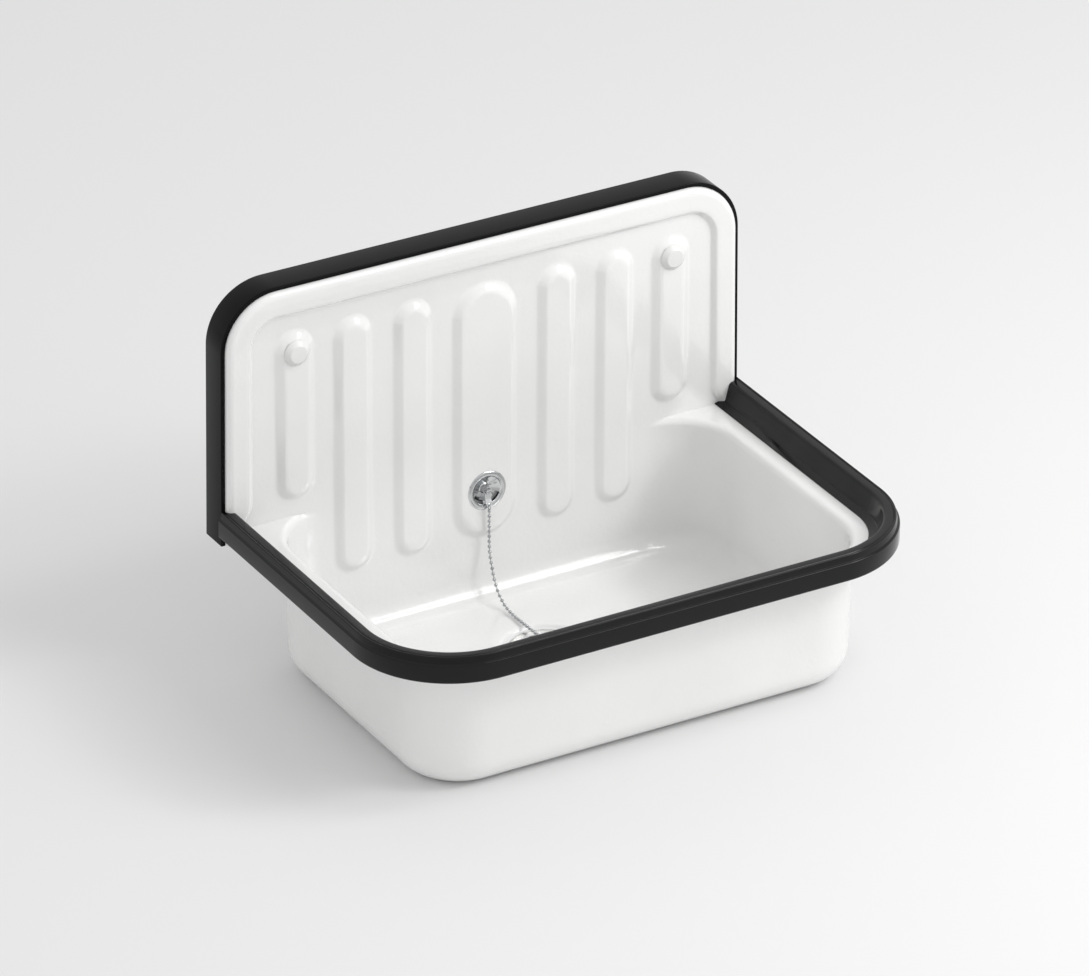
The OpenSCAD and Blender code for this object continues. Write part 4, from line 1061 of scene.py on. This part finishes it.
HOSE_OUT, HOSE_TOP = 14.0, 87.1
HOSE_BEND, HOSE_END, PORT_Z = 38.0, 97.0, -27.5
HOSE_CUFF, HOSE_PITCH = 20.8, 4.0
HOSE_BORE, HOSE_ROOT, HOSE_D = 8.1, 9.3, 20.8


def hose_route():
    """Points of the hose's middle: down behind the panel, round the bend and forward to the waste."""
    fall = HOSE_TOP - PORT_Z - HOSE_BEND
    run = HOSE_END - HOSE_OUT - HOSE_BEND
    line = [(0.0, HOSE_OUT, z) for z in spread(HOSE_TOP, (HOSE_TOP - fall, 12))[:-1]]
    for a in spread(0.0, (pi / 2, 16)):
        line.append((0.0, HOSE_OUT + HOSE_BEND * (1 - cos(a)), PORT_Z + HOSE_BEND * (1 - sin(a))))
    line += [(0.0, out, PORT_Z) for out in spread(HOSE_END - run, (HOSE_END, 8))[1:]]
    return to_frame(line)


def ribbed_hose_tree():
    """Tube along a path whose radius rises and falls in ribs between two plain cuffs, with its bore."""
    sizes = ["Bore radius", "Root radius", "Rib height", "Pitch", "Cuff"]
    tree, given = start_tree("Ribbed hose", "NodeSocketFloat", sizes)
    path = add(tree, "GeometryNodeMeshToCurve", None, {"Mesh": given["Geometry"]}).outputs[0]
    known = {label: given[label] for label in sizes}
    known["whole"] = add(tree, "GeometryNodeCurveLength", None, {"Curve": path}).outputs[0]
    known["along"] = add(tree, "GeometryNodeSplineParameter").outputs["Length"]
    sums = {
        "step": ("MULTIPLY", "Pitch", 0.1),
        "past cuff": ("SUBTRACT", "along", "Cuff"),
        "last cuff": ("SUBTRACT", "whole", "Cuff"),
        "to cuff": ("SUBTRACT", "last cuff", "along"),
        "ribs": ("DIVIDE", "past cuff", "Pitch"),
        "turn": ("MULTIPLY", "ribs", 2 * pi),
        "swing": ("COSINE", "turn"),
        "half swing": ("MULTIPLY", "swing", 0.5),
        "wave": ("SUBTRACT", 0.5, "half swing"),
        "begun": ("GREATER_THAN", "past cuff", 0.0),
        "not ended": ("GREATER_THAN", "to cuff", 0.0),
        "ribbed": ("MULTIPLY", "begun", "not ended"),
        "full rise": ("MULTIPLY", "wave", "Rib height"),
        "rise": ("MULTIPLY", "full rise", "ribbed"),
        "radius": ("ADD", "Root radius", "rise"),
    }
    for label, (operation, *terms) in sums.items():
        links = {k: known[term] for k, term in enumerate(terms) if isinstance(term, str)}
        numbers = {k: term for k, term in enumerate(terms) if not isinstance(term, str)}
        known[label] = add(tree, "ShaderNodeMath", {"operation": operation}, links, numbers).outputs[0]
    links = {"Curve": path, "Length": known["step"]}
    fine = add(tree, "GeometryNodeResampleCurve", {"mode": "LENGTH"}, links).outputs[0]
    round_section = {"Resolution": 28, "Radius": 1.0}
    circle = add(tree, "GeometryNodeCurvePrimitiveCircle", None, None, round_section).outputs[0]
    skins = []
    for size in ("Bore radius", "radius"):
        links = {"Curve": fine, "Profile Curve": circle, "Scale": known[size]}
        skins.append(add(tree, "GeometryNodeCurveToMesh", None, links).outputs[0])
    return end_tree(tree, given, skins)


def close_tube(obj):
    """Joins a tube's outer skin to its bore round both ends."""
    bm = bmesh.new()
    bm.from_mesh(obj.data)
    open_edges = [e for e in bm.edges if e.is_boundary]
    ends = {}
    for edge in open_edges:
        middle = (edge.verts[0].co + edge.verts[1].co) / 2
        ends.setdefault(middle.y < -0.05, []).append(edge)
    for edges in ends.values():
        bmesh.ops.bridge_loops(bm, edges=edges)
    bmesh.ops.recalc_face_normals(bm, faces=bm.faces)
    bm.to_mesh(obj.data)
    bm.free()


class SINK_OT_hose(Operator):
    """Builds the ribbed overflow hose and finishes its two clamping nuts"""

    bl_idname = "sink.hose"
    bl_label = "Overflow hose"

    def execute(self, context):
        route = hose_route()
        obj = new_object("overflow_hose_ribbed", route, [], [(k, k + 1) for k in range(len(route) - 1)])
        whole = sum((Vector(b) - Vector(a)).length for a, b in zip(route, route[1:]))
        between = whole - 2 * HOSE_CUFF / 1000
        values = {
            "Bore radius": HOSE_BORE / 1000,
            "Root radius": HOSE_ROOT / 1000,
            "Rib height": look().hose_rib,
            "Pitch": between / int(between * 1000 / HOSE_PITCH),
            "Cuff": HOSE_CUFF / 1000,
        }
        run_tree(obj, ribbed_hose_tree(), "hose", values)
        close_tube(obj)
        shade(obj, 50)
        finish_piece(obj, "sink", "hose", "overflow_hose")
        paint_nodes(hose_nut_top="nylon", hose_nut_low="nylon")
        return {"FINISHED"}


class SINK_PT_panel(Panel):
    """Lists the steps of the sink"""

    bl_idname = "SINK_PT_panel"
    bl_label = "Bucket sink"
    bl_space_type = "VIEW_3D"
    bl_region_type = "UI"
    bl_category = "Sink"

    def draw(self, context):
        settings = look()
        for prop in SinkLook.__annotations__:
            self.layout.prop(settings, prop)
        for step in STEPS:
            self.layout.operator(step.bl_idname)


STEPS = (
    SINK_OT_camera,
    SINK_OT_hose,
    SINK_OT_stage,
    SINK_OT_basin,
    SINK_OT_profiles,
    SINK_OT_fixings,
    SINK_OT_overflow,
    SINK_OT_chain,
    SINK_OT_plug,
    SINK_OT_waste,
)
CLASSES = (SinkLook, *STEPS, SINK_PT_panel)


def register():
    for cls in CLASSES:
        bpy.utils.register_class(cls)
    bpy.types.Scene.sink_look = PointerProperty(type=SinkLook)


def unregister():
    del bpy.types.Scene.sink_look
    for cls in reversed(CLASSES):
        bpy.utils.unregister_class(cls)


def main():
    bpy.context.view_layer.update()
    register()
    make_materials(look())
    bpy.ops.sink.camera()
    bpy.ops.sink.hose()
    bpy.ops.sink.stage()
    bpy.ops.sink.basin()
    bpy.ops.sink.profiles()
    bpy.ops.sink.fixings()
    bpy.ops.sink.overflow()
    bpy.ops.sink.chain()
    bpy.ops.sink.plug()
    bpy.ops.sink.waste()
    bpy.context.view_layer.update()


if __name__ == "__main__":
    main()
